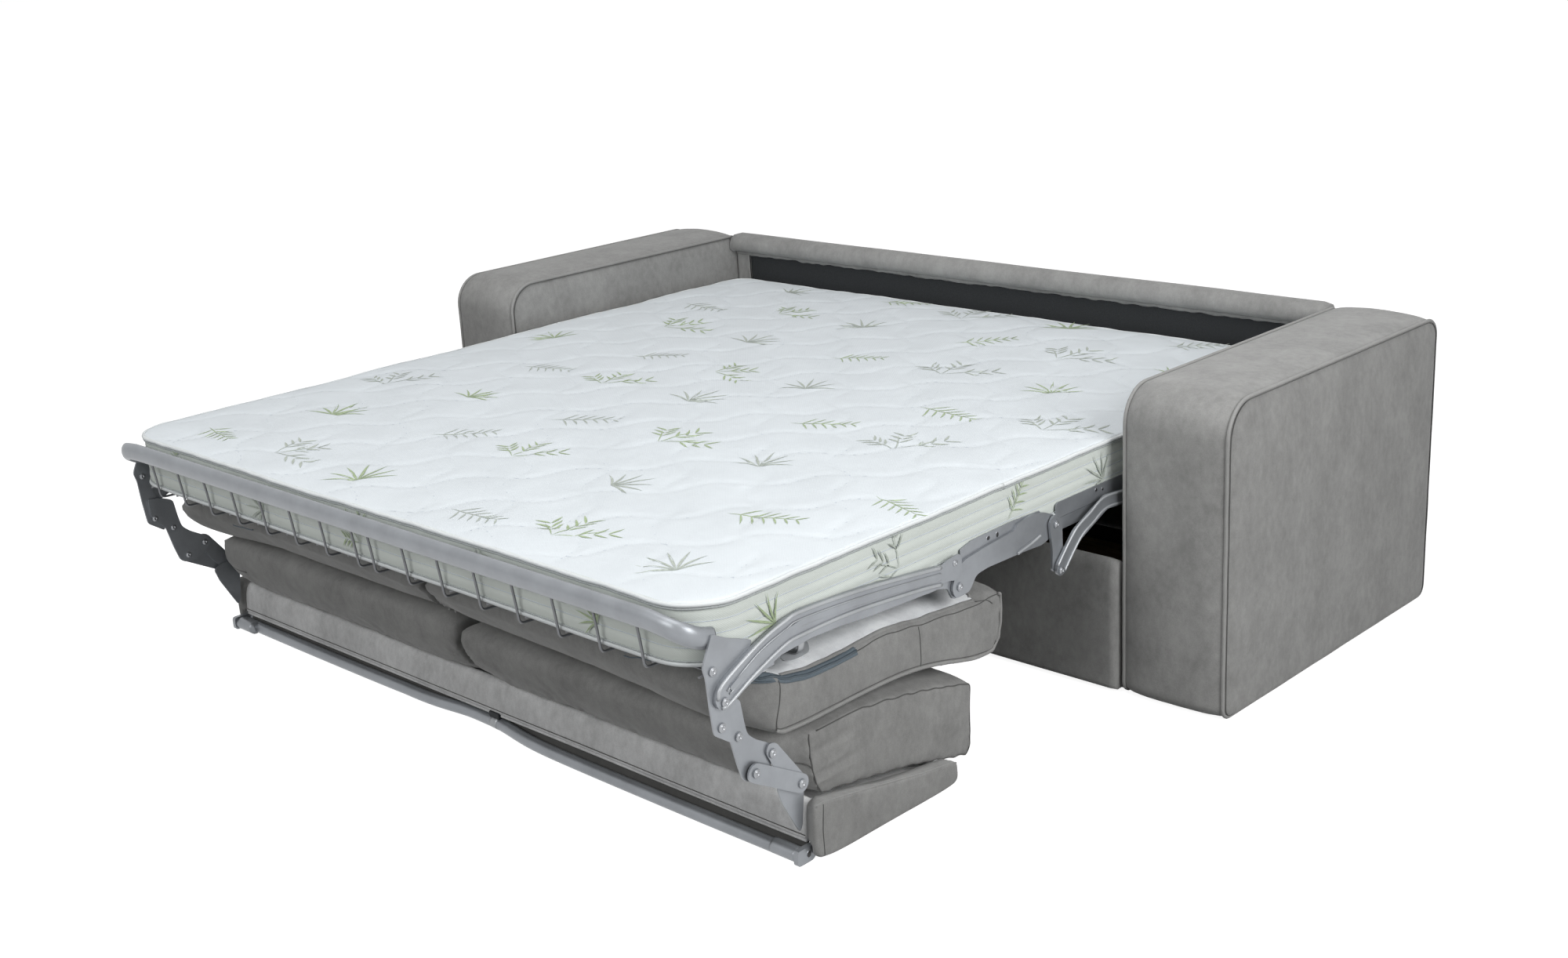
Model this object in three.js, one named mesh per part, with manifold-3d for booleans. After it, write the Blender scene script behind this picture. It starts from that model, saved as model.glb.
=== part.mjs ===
import * as THREE from 'three';
import { mergeVertices } from 'three/addons/utils/BufferGeometryUtils.js';
import Module from 'manifold-3d';

const wasm = await Module();
wasm.setup();

// All sizes in millimetres. X runs across the sofa, Y to the rear, Z up.
// Y is written from the front faces of the arms and shifted by FRONT_Y at the end.
const FRONT_Y = 140;
const HALF_BETWEEN_ARMS = 930;
const ARM_WIDTH = 250;
const ARM_DEPTH = 860;
const ARM_TOP = 647;
const ARM_FRONT_RADIUS = 80;
const ARM_REAR_RADIUS = 30;
const GLIDE_HEIGHT = 6;
const RAIL_TOP = 286;
const BACK_INNER = 800;
const BACK_BOARD = 835;
const MATTRESS_HALF = 899.6;
const MATTRESS_BOTTOM = 415;
const MATTRESS_TOP = 535;
const MATTRESS_FRONT = -1100;
const MATTRESS_REAR = 800;
const FOLD_FRONT = -500;
const FOLD_REAR = -145;
const MESH_BOTTOM = 396;
const MESH_THICKNESS = 8;
const TUBE_RADIUS = 13;
const CUSHION_HALF = 895;
const PANEL_HALF = 925;

// Pivots in the side plane as [y, z].
const PIVOT_LINK = [-180, 412];
const PIVOT_FOOT = [-465, 372];
const PIVOT_BACK = [-899, 154];
const PIVOT_HEAD = [545, 402];
const PIVOT_LEVER = [-175, 319];
const LEVER_TAIL = [147, 399];
const LIFT_BASE = [262.6, 141.8];
const LIFT_TOP = [240, 400];
const REAR_BASE = [482.6, 141.8];
const REAR_TOP = [460, 400];

// Plate layers across the side, as distances from the middle plane.
const LAYER_HINGE = [896.5, 900.5];
const LAYER_BRACKET = [901, 904.7];
const LAYER_LINK = [903, 908];
const LAYER_CHANNEL = [905, 912];
const LAYER_CRANK = [910, 915];
const LAYER_LEVER = [917, 922];
const LAYER_LIFT = [912, 917];
const LAYER_REAR = [919.8, 923.6];

const FABRIC = { color: 0x83827f, roughness: 0.95, metalness: 0 };
const LINING = { color: 0x202326, roughness: 0.9, metalness: 0 };
const TICKING = { color: 0xdfe5e6, roughness: 0.85, metalness: 0 };
const PAINTED = { color: 0x8f949a, roughness: 0.45, metalness: 0.55 };
const WIRE = { color: 0x9aa0a6, roughness: 0.4, metalness: 0.8 };
const TIMBER = { color: 0xb89b6c, roughness: 0.8, metalness: 0 };
const PLASTIC = { color: 0x1c1c1c, roughness: 0.6, metalness: 0 };

const group = new THREE.Group();
group.name = 'sleeper_sofa';

function addMesh(name, geometry, finish) {
  geometry.translate(0, FRONT_Y, 0);
  const material = new THREE.MeshStandardMaterial(finish);
  const mesh = new THREE.Mesh(geometry, material);
  mesh.name = name;
  group.add(mesh);
}

function toSolid(geometry) {
  const bare = geometry.clone();
  bare.deleteAttribute('normal');
  bare.deleteAttribute('uv');
  const merged = mergeVertices(bare, 0.0005);
  return new wasm.Manifold(new wasm.Mesh({
    numProp: 3,
    vertProperties: new Float32Array(merged.attributes.position.array),
    triVerts: new Uint32Array(merged.index.array),
  }));
}

function toGeometry(solid) {
  const mesh = solid.getMesh();
  const geometry = new THREE.BufferGeometry();
  const points = new Float32Array(mesh.numVert * 3);
  for (let i = 0; i < mesh.numVert; i += 1) {
    for (let k = 0; k < 3; k += 1) {
      points[3 * i + k] = mesh.vertProperties[mesh.numProp * i + k];
    }
  }
  geometry.setAttribute('position', new THREE.BufferAttribute(points, 3));
  geometry.setIndex(new THREE.BufferAttribute(new Uint32Array(mesh.triVerts), 1));
  geometry.computeVertexNormals();
  return geometry;
}

function unite(geometries) {
  let solid = toSolid(geometries[0]);
  for (const geometry of geometries.slice(1)) {
    solid = solid.add(toSolid(geometry));
  }
  return toGeometry(solid);
}

function block(x0, x1, y0, y1, z0, z1) {
  const geometry = new THREE.BoxGeometry(x1 - x0, y1 - y0, z1 - z0);
  geometry.translate((x0 + x1) / 2, (y0 + y1) / 2, (z0 + z1) / 2);
  return geometry;
}

// Rounds every corner of an outline given as [y, z] points.
function rounded(points, radius, steps = 3) {
  const result = [];
  const count = points.length;
  for (let i = 0; i < count; i += 1) {
    const corner = new THREE.Vector2(...points[i]);
    const before = new THREE.Vector2(...points[(i + count - 1) % count]);
    const after = new THREE.Vector2(...points[(i + 1) % count]);
    const reachIn = before.clone().sub(corner);
    const reachOut = after.clone().sub(corner);
    const reach = Math.min(radius, 0.45 * reachIn.length(), 0.45 * reachOut.length());
    const start = corner.clone().add(reachIn.setLength(reach));
    const end = corner.clone().add(reachOut.setLength(reach));
    const curve = new THREE.QuadraticBezierCurve(start, corner, end);
    for (const p of curve.getPoints(steps)) {
      result.push([p.x, p.y]);
    }
  }
  return result;
}

// Turns a shape drawn in the side plane into a slab between two distances from the middle.
function slab(outline, inner, outer, side) {
  const shape = new THREE.Shape(outline.map(([y, z]) => new THREE.Vector2(y, z)));
  const geometry = new THREE.ExtrudeGeometry(shape, { depth: outer - inner, bevelEnabled: false });
  const turn = new THREE.Matrix4().makeBasis(
    new THREE.Vector3(0, 1, 0),
    new THREE.Vector3(0, 0, 1),
    new THREE.Vector3(1, 0, 0),
  );
  geometry.applyMatrix4(turn);
  geometry.translate(side > 0 ? inner : -outer, 0, 0);
  return geometry;
}

function disc([y, z], radius, inner, outer, side, segments = 16) {
  const geometry = new THREE.CylinderGeometry(radius, radius, outer - inner, segments);
  geometry.rotateZ(Math.PI / 2);
  geometry.translate(side * (inner + outer) / 2, y, z);
  return geometry;
}

function rivet(at, face, side) {
  return disc(at, 8.5, face - 0.8, face + 2.3, side, 12);
}

// A bar with round ends between two pivots.
function bar([y0, z0], [y1, z1], radius, steps = 8) {
  const angle = Math.atan2(z1 - z0, y1 - y0);
  const outline = [];
  for (let i = 0; i <= steps; i += 1) {
    const a = angle - Math.PI / 2 + Math.PI * i / steps;
    outline.push([y1 + radius * Math.cos(a), z1 + radius * Math.sin(a)]);
  }
  for (let i = 0; i <= steps; i += 1) {
    const a = angle + Math.PI / 2 + Math.PI * i / steps;
    outline.push([y0 + radius * Math.cos(a), z0 + radius * Math.sin(a)]);
  }
  return outline;
}

// Joins rings of equal length into one closed body, each end closed by a fan.
function loft(rings) {
  const count = rings[0].length;
  const positions = rings.flat(2);
  const index = [];
  for (let r = 0; r + 1 < rings.length; r += 1) {
    for (let i = 0; i < count; i += 1) {
      const a = r * count + i;
      const b = r * count + (i + 1) % count;
      index.push(a, b, b + count, a, b + count, a + count);
    }
  }
  const last = (rings.length - 1) * count;
  const ends = [[0, false], [last, true]];
  for (const [start, turned] of ends) {
    const centre = positions.length / 3;
    const ring = rings[start / count];
    for (let k = 0; k < 3; k += 1) {
      positions.push(ring.reduce((sum, p) => sum + p[k], 0) / count);
    }
    for (let i = 0; i < count; i += 1) {
      const a = start + i;
      const b = start + (i + 1) % count;
      index.push(...(turned ? [a, b, centre] : [b, a, centre]));
    }
  }
  const geometry = new THREE.BufferGeometry();
  geometry.setAttribute('position', new THREE.Float32BufferAttribute(positions, 3));
  geometry.setIndex(signedVolume(positions, index) < 0 ? index.reverse() : index);
  geometry.computeVertexNormals();
  return geometry;
}

function signedVolume(positions, index) {
  const a = new THREE.Vector3();
  const b = new THREE.Vector3();
  const c = new THREE.Vector3();
  let sum = 0;
  for (let i = 0; i < index.length; i += 3) {
    a.fromArray(positions, 3 * index[i]);
    b.fromArray(positions, 3 * index[i + 1]);
    c.fromArray(positions, 3 * index[i + 2]);
    sum += a.dot(b.cross(c));
  }
  return sum;
}

function arcPoints(cy, cz, radius, from, steps) {
  const points = [];
  for (let i = 0; i <= steps; i += 1) {
    const a = from + (Math.PI / 2) * i / steps;
    points.push([cy + radius * Math.cos(a), cz + radius * Math.sin(a)]);
  }
  return points;
}

// Side outline of an arm, drawn in by inset all round.
function armOutline(inset) {
  const y0 = inset;
  const y1 = ARM_DEPTH - inset;
  const z0 = GLIDE_HEIGHT + inset;
  const z1 = ARM_TOP - inset;
  const front = Math.max(ARM_FRONT_RADIUS - inset, 6);
  const rear = Math.max(ARM_REAR_RADIUS - inset, 6);
  const low = 8;
  return [
    ...arcPoints(y1 - rear, z1 - rear, rear, 0, 5),
    ...arcPoints(y0 + front, z1 - front, front, Math.PI / 2, 9),
    ...arcPoints(y0 + low, z0 + low, low, Math.PI, 3),
    ...arcPoints(y1 - low, z0 + low, low, 1.5 * Math.PI, 3),
  ];
}

function arm(side) {
  const stations = [
    [0, 150], [1, 70], [3, 25], [5, 7], [11, 1.5], [30, 0.5], [80, -1.5], [125, -3],
    [170, -1.5], [220, 0.5], [239, 1.5], [245, 7], [247, 25], [249, 70], [250, 150],
  ];
  const rings = stations.map(([across, inset]) => {
    const lift = Math.max(inset, 0);
    const crown = Math.max(-inset, 0);
    return armOutline(lift).map(([y, z]) => {
      const top = z > ARM_TOP - 100 ? crown : 0;
      return [side * (HALF_BETWEEN_ARMS + across), y, z + top];
    });
  });
  return loft(rings);
}

function closedCurve(points, count) {
  const curve = new THREE.CatmullRomCurve3(
    points.map(([y, z]) => new THREE.Vector3(0, y, z)), true, 'centripetal');
  return curve.getSpacedPoints(count).slice(0, count).map((p) => [p.y, p.z]);
}

// A stuffed cushion between two X values, its side outline drawn in towards both ends.
function cushion(outline, x0, x1, count, puff) {
  const ring = closedCurve(outline, count);
  const cy = ring.reduce((s, p) => s + p[0], 0) / count;
  const cz = ring.reduce((s, p) => s + p[1], 0) / count;
  const stations = [
    [0, 0.45], [0.004, 0.8], [0.014, 0.93], [0.035, 0.975], [0.09, 0.99], [0.25, 1], [0.5, 1],
    [0.75, 1], [0.91, 0.99], [0.965, 0.975], [0.986, 0.93], [0.996, 0.8], [1, 0.45],
  ];
  return loft(stations.map(([t, s]) => {
    const x = x0 + (x1 - x0) * t;
    const swell = 1 - puff * (1 - Math.sin(Math.PI * t));
    return ring.map(([y, z]) => [x, cy + (y - cy) * (0.5 + 0.5 * s), cz + (z - cz) * s * swell]);
  }));
}

// A mattress length with rounded edges, its outline in plan rounded at the chosen ends.
function mattress(y0, y1, frontRadius, rearRadius) {
  const plan = [];
  const half = MATTRESS_HALF;
  const corner = (cx, cy, radius, from) => plan.push(...arcPoints(cx, cy, radius, from, 5));
  corner(half - rearRadius, y1 - rearRadius, rearRadius, 0);
  corner(-half + rearRadius, y1 - rearRadius, rearRadius, Math.PI / 2);
  corner(-half + frontRadius, y0 + frontRadius, frontRadius, Math.PI);
  corner(half - frontRadius, y0 + frontRadius, frontRadius, 1.5 * Math.PI);
  const cy = (y0 + y1) / 2;
  const levels = [
    [0, 9], [3, 3], [8, 0], [36, -0], [60, 2], [84, -0], [112, 0], [117, 3], [120, 9],
  ];
  return loft(levels.map(([up, inset]) => plan.map(([x, y]) => {
    const open = y > cy ? rearRadius > 5 : frontRadius > 5;
    const along = open ? (y - cy) * (1 - inset / ((y1 - y0) / 2)) : y - cy;
    return [x * (1 - inset / half), cy + along, MATTRESS_BOTTOM + up];
  })));
}

// A tube of oval section along a path, kept upright.
function ovalTube(path, halfWide, halfHigh, count) {
  const up = new THREE.Vector3(0, 0, 1);
  return loft(path.map((p, i) => {
    const before = path[Math.max(i - 1, 0)];
    const after = path[Math.min(i + 1, path.length - 1)];
    const along = after.clone().sub(before).normalize();
    const wide = along.clone().cross(up).normalize();
    const high = wide.clone().cross(along).normalize();
    const ring = [];
    for (let k = 0; k < count; k += 1) {
      const a = 2 * Math.PI * k / count;
      const q = p.clone();
      q.addScaledVector(wide, halfWide * Math.cos(a));
      q.addScaledVector(high, halfHigh * Math.sin(a));
      ring.push(q.toArray());
    }
    return ring;
  }));
}

function smoothPath(points, count) {
  const curve = new THREE.CatmullRomCurve3(
    points.map((p) => new THREE.Vector3(...p)), false, 'centripetal');
  return curve.getPoints(count);
}

function buildSofa() {
  for (const [word, side] of [['left', -1], ['right', 1]]) {
    addMesh(`arm_${word}`, arm(side), FABRIC);
    for (const [place, y] of [['front', 70], ['rear', 790]]) {
      const glide = new THREE.CylinderGeometry(22, 24, GLIDE_HEIGHT - 0.3, 20);
      glide.rotateX(Math.PI / 2);
      glide.translate(side * 1055, y, (GLIDE_HEIGHT - 0.3) / 2);
      addMesh(`glide_${place}_${word}`, glide, PLASTIC);
    }
    const mount = rounded([[215, 100], [215, 168], [530, 168], [530, 100]], 14);
    const parts = [slab(mount, 924.8, 929.7, side)];
    parts.push(disc(LIFT_BASE, 11, LAYER_LIFT[1] + 0.3, 925, side));
    parts.push(disc(REAR_BASE, 11, LAYER_REAR[1] + 0.3, 925, side));
    addMesh(`side_bracket_${word}`, unite(parts), PAINTED);
  }
  const rail = rounded([[0, 10], [27, 10], [27, RAIL_TOP], [0, RAIL_TOP]], 13, 5);
  addMesh('front_rail', slab(rail, -929.6, 929.6, 1), FABRIC);
  const back = rounded([
    [ARM_DEPTH, 20], [ARM_DEPTH, 650], [BACK_INNER, 650], [BACK_INNER, 602],
    [BACK_BOARD, 594], [BACK_BOARD, 20],
  ], 16, 4);
  addMesh('back_rail', slab(back, -929.6, 929.6, 1), FABRIC);
  addMesh('back_lining', block(-879.7, 929.5, 828, 834.6, 300, 576), LINING);
  addMesh('back_return', block(-929.5, -880, 828, 834.6, 300, 576), FABRIC);
  addMesh('base_rail_front', block(-929.5, 929.5, 290, 325, 8, 34), TIMBER);
  addMesh('base_rail_rear', block(-929.5, 929.5, 640, 675, 8, 34), TIMBER);
}

function buildLevers() {
  for (const [word, side] of [['left', -1], ['right', 1]]) {
    const levers = [
      ['lift_lever', LIFT_BASE, LIFT_TOP, LAYER_LIFT],
      ['rear_lever', REAR_BASE, REAR_TOP, LAYER_REAR],
    ];
    for (const [name, base, top, [inner, outer]] of levers) {
      const parts = [slab(bar(base, top, 17), inner, outer, side)];
      parts.push(disc(top, 13, 900.3, inner + 0.5, side));
      parts.push(rivet(top, outer, side));
      addMesh(`${name}_${word}`, unite(parts), PAINTED);
    }
  }
}

function buildMiddle() {
  for (const [word, side] of [['left', -1], ['right', 1]]) {
    const tube = slab(rounded([[-196, 388], [-196, 413], [553, 413], [553, 388]], 4, 2), 880, 900, side);
    const boss = disc(PIVOT_LINK, 12, 899.75, 902.7, side);
    const headBoss = disc(PIVOT_HEAD, 8, 876, 881, side);
    addMesh(`middle_tube_${word}`, unite([tube, boss, headBoss]), PAINTED);
  }
  const wide = 879.7;
  const net = block(-wide, wide, -140, 530, MESH_BOTTOM, MESH_BOTTOM + MESH_THICKNESS);
  const front = block(-wide, wide, -140, -115, 374, MESH_BOTTOM + 1);
  const rear = block(-wide, wide, 495, 520, 374, MESH_BOTTOM + 1);
  addMesh('middle_mesh', unite([net, front, rear]), WIRE);
  addMesh('mattress_middle', mattress(FOLD_REAR, PIVOT_HEAD[0], 1, 1), TICKING);
}

function buildHead() {
  const z0 = MESH_BOTTOM;
  addMesh('head_webbing', block(-874, 874, 534, 795, z0, z0 + MESH_THICKNESS), WIRE);
  addMesh('mattress_head', mattress(PIVOT_HEAD[0] + 0.6, MATTRESS_REAR, 1, 60), TICKING);
}

function buildFoldLink() {
  const outline = [
    [-462, 412], [-446, 419], [-381, 426], [-300, 432], [-292, 441], [-245, 448], [-205, 441],
    [-166, 424], [-160, 404], [-176, 390], [-215, 379], [-271, 382], [-382, 384], [-416, 380],
    [-436, 354], [-476, 352], [-487, 372], [-478, 392],
  ];
  for (const [word, side] of [['left', -1], ['right', 1]]) {
    const [inner, outer] = LAYER_LINK;
    const parts = [slab(rounded(outline, 9), inner, outer, side)];
    parts.push(slab(bar([-290, 386], [-222, 398], 5, 4), outer - 0.5, outer + 1.2, side));
    parts.push(rivet(PIVOT_FOOT, outer, side));
    addMesh(`link_plate_${word}`, unite(parts), PAINTED);
  }
  const net = block(-879, 879, -435, -215, MESH_BOTTOM, MESH_BOTTOM + MESH_THICKNESS);
  const front = block(-902.7, 902.7, -410, -388, MESH_BOTTOM, MESH_BOTTOM + MESH_THICKNESS);
  const rear = block(-902.7, 902.7, -240, -218, MESH_BOTTOM, MESH_BOTTOM + MESH_THICKNESS);
  addMesh('fold_mesh', unite([net, front, rear]), WIRE);
  addMesh('mattress_fold', mattress(FOLD_FRONT + 0.6, FOLD_REAR - 0.6, 1, 1), TICKING);
}

function channelParts(side) {
  const [inner, outer] = LAYER_CHANNEL;
  const web = [
    [-519, 430], [-730, 454], [-880, 463], [-922, 458], [-983, 440], [-1072, 398], [-1088, 372],
    [-1078, 352], [-1056, 354], [-997, 384], [-925, 411], [-880, 416], [-753, 415], [-581, 400],
    [-519, 391],
  ];
  const rib = [[-522, 416], [-730, 438], [-884, 447], [-922, 441], [-985, 422], [-1056, 386],
    [-1051, 378], [-985, 411], [-918, 430], [-880, 436], [-730, 427], [-522, 405]];
  const flange = rounded([[-560, 392], [-560, 413.5], [-447, 413.5], [-443, 372], [-450, 350],
    [-478, 350], [-492, 376]], 8);
  const parts = [slab(rounded(web, 14), inner, outer, side)];
  parts.push(slab(rounded(rib, 6), outer - 0.5, outer + 3, side));
  parts.push(slab(flange, 897, 902, side));
  parts.push(block(...acrossSide(901, inner + 0.5, side), -558, -522, 395, 413));
  parts.push(disc(PIVOT_FOOT, 12, 901, 902.7, side));
  parts.push(rivet([-1066, 364], outer, side));
  return parts;
}

function acrossSide(inner, outer, side) {
  return side > 0 ? [inner, outer] : [-outer, -inner];
}

function wirePath(x) {
  return [[x, -1112, 484], [x, -1110, 450], [x, -1107, 412], [x, -1096, 400], [x, -1080, 400]]
    .map((p) => new THREE.Vector3(...p));
}

function buildFoot() {
  const legEnd = [888.5, -1066, 468];
  const mirrored = (p) => [-p[0], p[1], p[2]];
  const corner = [[888, -1092, 476], [880, -1114, 488], [858, -1126, 497], [815, -1128, 502]];
  const right = smoothPath([legEnd, ...corner], 11);
  const left = smoothPath([legEnd, ...corner].map(mirrored), 11);
  addMesh('foot_tube', ovalTube([...left, ...right.reverse()], 12, 18, 16), PAINTED);
  const mesh = block(-879, 879, -1090, -505, MESH_BOTTOM, MESH_BOTTOM + MESH_THICKNESS);
  const wires = [];
  for (let i = 0; i < 8; i += 1) {
    const x = 27 + i * 106.8;
    wires.push(ovalTube(wirePath(x), 2.6, 2.6, 6));
    wires.push(ovalTube(wirePath(-x), 2.6, 2.6, 6));
  }
  const front = block(-896.6, 896.6, -960, -935, 380, MESH_BOTTOM + 1);
  const rear = block(-896.6, 896.6, -545, -520, 380, MESH_BOTTOM + 1);
  addMesh('foot_mesh', unite([mesh, front, rear, ...wires]), WIRE);
  addMesh('mattress_foot', mattress(MATTRESS_FRONT, FOLD_FRONT, 105, 1), TICKING);
  const bracket = [
    [-1078, 482], [-1044, 464], [-990, 444], [-1004, 422], [-1046, 404], [-1066, 386],
    [-1052, 352], [-1049, 318], [-1049, 284], [-1086, 310], [-1092, 360], [-1096, 412],
    [-1102, 431], [-1092, 452],
  ];
  const hinge = [
    [-1080, 366], [-1050, 362], [-1022, 350], [-1016, 310], [-1010, 284], [-992, 268], [-955, 246],
    [-943, 232], [-958, 213], [-1003, 195], [-1025, 206], [-1036, 240], [-1049, 292], [-1078, 322],
  ];
  for (const [word, side] of [['left', -1], ['right', 1]]) {
    addMesh(`seat_channel_${word}`, unite(channelParts(side)), PAINTED);
    const plate = [slab(rounded(bracket, 7), LAYER_BRACKET[0], LAYER_BRACKET[1], side)];
    plate.push(rivet([-1082, 420], LAYER_BRACKET[1], side));
    plate.push(rivet([-1070, 319], LAYER_BRACKET[1], side));
    addMesh(`corner_bracket_${word}`, unite(plate), PAINTED);
    const lower = [slab(rounded(hinge, 8), LAYER_HINGE[0], LAYER_HINGE[1], side)];
    lower.push(rivet([-1030, 287], LAYER_HINGE[1], side));
    addMesh(`back_hinge_plate_${word}`, unite(lower), PAINTED);
    const upper = [[-975, 238], [-967, 252], [-950, 248], [-908, 192], [-884, 160], [-886, 142],
      [-902, 138], [-918, 150], [-950, 190]];
    const arm57 = [slab(rounded(upper, 8), LAYER_BRACKET[0], LAYER_BRACKET[1], side)];
    arm57.push(rivet([-960, 232], LAYER_BRACKET[1], side));
    addMesh(`hinge_arm_${word}`, unite(arm57), PAINTED);
    const strip = bar([-1004, 214], PIVOT_BACK, 17);
    const link = [slab(strip, 905, 909, side), rivet([-1004, 214], 909, side)];
    link.push(rivet(PIVOT_BACK, 909, side));
    addMesh(`hinge_link_${word}`, unite(link), PAINTED);
    const tab = block(...acrossSide(840, 902, side), -905, -868, 384, 388);
    const post = block(...acrossSide(895, 904, side), -905, -868, 386, 412);
    addMesh(`cushion_retainer_${word}`, unite([tab, post]), PAINTED);
    const seat = seatOutline();
    const [x0, x1] = acrossSide(1.5, CUSHION_HALF, side);
    addMesh(`seat_cushion_${word}`, cushion(seat, x0, x1, 44, 0.03), FABRIC);
  }
}

function seatOutline() {
  return [[-1003, 338], [-970, 349], [-850, 356], [-730, 362], [-610, 360], [-480, 344],
    [-370, 334], [-320, 326], [-307, 308], [-313, 262], [-326, 214], [-345, 197], [-421, 205],
    [-541, 232], [-630, 241], [-740, 242], [-850, 240], [-925, 248], [-975, 262], [-1000, 284],
    [-1010, 310]];
}

function backOutline() {
  return [[-900, 225], [-860, 234], [-800, 235], [-730, 234], [-660, 228], [-555, 210],
    [-454, 188], [-410, 172], [-401, 150], [-405, 80], [-416, 24], [-432, 14], [-489, 26],
    [-573, 47], [-671, 66], [-764, 83], [-825, 91], [-870, 110], [-900, 136], [-911, 170],
    [-911, 205]];
}

function panelOutline() {
  return [[-894, 102], [-886, 110], [-866, 102], [-825, 84], [-764, 76], [-671, 59], [-573, 40],
    [-505, 25], [-484, 18], [-484, 10], [-520, 6], [-640, 5], [-760, 12], [-860, 38], [-890, 48],
    [-896, 60]];
}

function buildBack() {
  const gusset = rounded([[-858, 8], [-862, 108], [-845, 108], [-806, 100], [-704, 81],
    [-608, 62], [-525, 50], [-508, 44], [-504, 8], [-600, 3], [-720, 3]], 7);
  const panel = [cushion(panelOutline(), -CUSHION_HALF, CUSHION_HALF, 40, 0.02)];
  panel.push(slab(gusset, 894.8, PANEL_HALF, 1), slab(gusset, 894.8, PANEL_HALF, -1));
  addMesh('back_panel', unite(panel), FABRIC);
  for (const [word, side] of [['left', -1], ['right', 1]]) {
    const [x0, x1] = acrossSide(1.5, CUSHION_HALF, side);
    addMesh(`back_cushion_${word}`, cushion(backOutline(), x0, x1, 44, 0.04), FABRIC);
    const plate = rounded([[-948, 160], [-926, 170], [-890, 168], [-884, 146], [-893, 70],
      [-900, 60], [-910, 78], [-938, 130]], 7);
    const pin = disc(PIVOT_BACK, 9, 899, 900.7, side);
    addMesh(`triangle_plate_${word}`, unite([slab(plate, 896.5, 900, side), pin]), PAINTED);
    const foot = rounded([[-916, 1], [-916, 30], [-872, 30], [-866, 12], [-878, 1]], 7);
    addMesh(`leg_bracket_${word}`, slab(foot, 896.5, 907, side), PAINTED);
  }
  const half = [[0, -876, TUBE_RADIUS], [60, -879, TUBE_RADIUS], [170, -895, TUBE_RADIUS],
    [300, -900, TUBE_RADIUS], [600, -901, TUBE_RADIUS], [895.5, -899, TUBE_RADIUS]];
  const right = smoothPath(half, 12);
  const left = smoothPath(half.map((p) => [-p[0], p[1], p[2]]), 12).slice(1).reverse();
  addMesh('leg_tube', ovalTube([...left, ...right], TUBE_RADIUS, TUBE_RADIUS, 12), PAINTED);
  addMesh('tube_strap', block(25, 55, -886, -872, 26.4, 38), PAINTED);
}

function buildControl() {
  const crank = rounded([[-200, 418], [-186, 432], [-168, 426], [-160, 408], [-158, 332],
    [-165, 320], [-180, 314], [-193, 322], [-191, 360]], 9);
  const lever = rounded([[-190, 318], [-176, 306], [-160, 312], [-110, 362], [-20, 400],
    [147, 385], [160, 399], [147, 413], [-26, 430], [-130, 388], [-186, 334]], 9);
  for (const [word, side] of [['left', -1], ['right', 1]]) {
    const plate = [slab(crank, LAYER_CRANK[0], LAYER_CRANK[1], side)];
    plate.push(disc(PIVOT_LINK, 11, 908.3, LAYER_CRANK[0] + 0.5, side));
    plate.push(rivet(PIVOT_LINK, LAYER_CRANK[1], side));
    addMesh(`control_crank_${word}`, unite(plate), PAINTED);
    const arm = [slab(lever, LAYER_LEVER[0], LAYER_LEVER[1], side)];
    arm.push(disc(PIVOT_LEVER, 10, 915.3, LAYER_LEVER[0] + 0.5, side));
    arm.push(rivet(PIVOT_LEVER, LAYER_LEVER[1], side));
    arm.push(rivet(LEVER_TAIL, LAYER_LEVER[1], side));
    addMesh(`control_lever_${word}`, unite(arm), PAINTED);
  }
}

buildSofa();
buildLevers();
buildMiddle();
buildHead();
buildFoldLink();
buildFoot();
buildBack();
buildControl();

export default group;
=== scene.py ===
import math

import bmesh
import bpy
import numpy as np
from mathutils import Matrix, Vector, noise
from mathutils.bvhtree import BVHTree


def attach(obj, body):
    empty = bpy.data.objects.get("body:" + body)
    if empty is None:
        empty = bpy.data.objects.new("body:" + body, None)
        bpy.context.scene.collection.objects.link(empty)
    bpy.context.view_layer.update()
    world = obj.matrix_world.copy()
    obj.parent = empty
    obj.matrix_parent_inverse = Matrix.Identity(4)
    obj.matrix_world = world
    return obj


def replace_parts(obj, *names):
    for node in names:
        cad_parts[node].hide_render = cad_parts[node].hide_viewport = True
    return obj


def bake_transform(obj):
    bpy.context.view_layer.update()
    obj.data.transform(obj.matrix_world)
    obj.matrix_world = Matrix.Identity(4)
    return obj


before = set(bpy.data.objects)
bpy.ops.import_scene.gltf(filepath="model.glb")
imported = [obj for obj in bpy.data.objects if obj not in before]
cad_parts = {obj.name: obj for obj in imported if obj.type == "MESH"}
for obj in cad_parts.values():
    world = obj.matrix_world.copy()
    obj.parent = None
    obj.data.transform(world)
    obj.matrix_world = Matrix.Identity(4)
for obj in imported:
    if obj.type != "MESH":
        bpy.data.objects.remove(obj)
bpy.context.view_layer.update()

# Lengths are in metres. Y is written from the front faces of the arms, and SHIFT moves it to the frame.
SHIFT = 0.14
HALF_BETWEEN_ARMS = 0.93
ARM_WIDTH = 0.25
ARM_DEPTH = 0.86
ARM_TOP = 0.648
MATTRESS_HALF = 0.9
MATTRESS_FRONT = -1.10
MATTRESS_REAR = 0.80
MATTRESS_BOTTOM = 0.415
MATTRESS_TOP = 0.535
FRONT_CORNER = 0.095
REAR_CORNER = 0.06
SEAM_FRONT = -0.32
SEAM_REAR = 0.12
BORDER_ROOM = 0.0045
PRINT_LIFT = 0.0052
QUILT_PITCH, QUILT_SLANT, QUILT_SWING, QUILT_WAVE = 0.21, 0.9, 0.026, 0.24
RAIL_HALF = 0.9295
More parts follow.
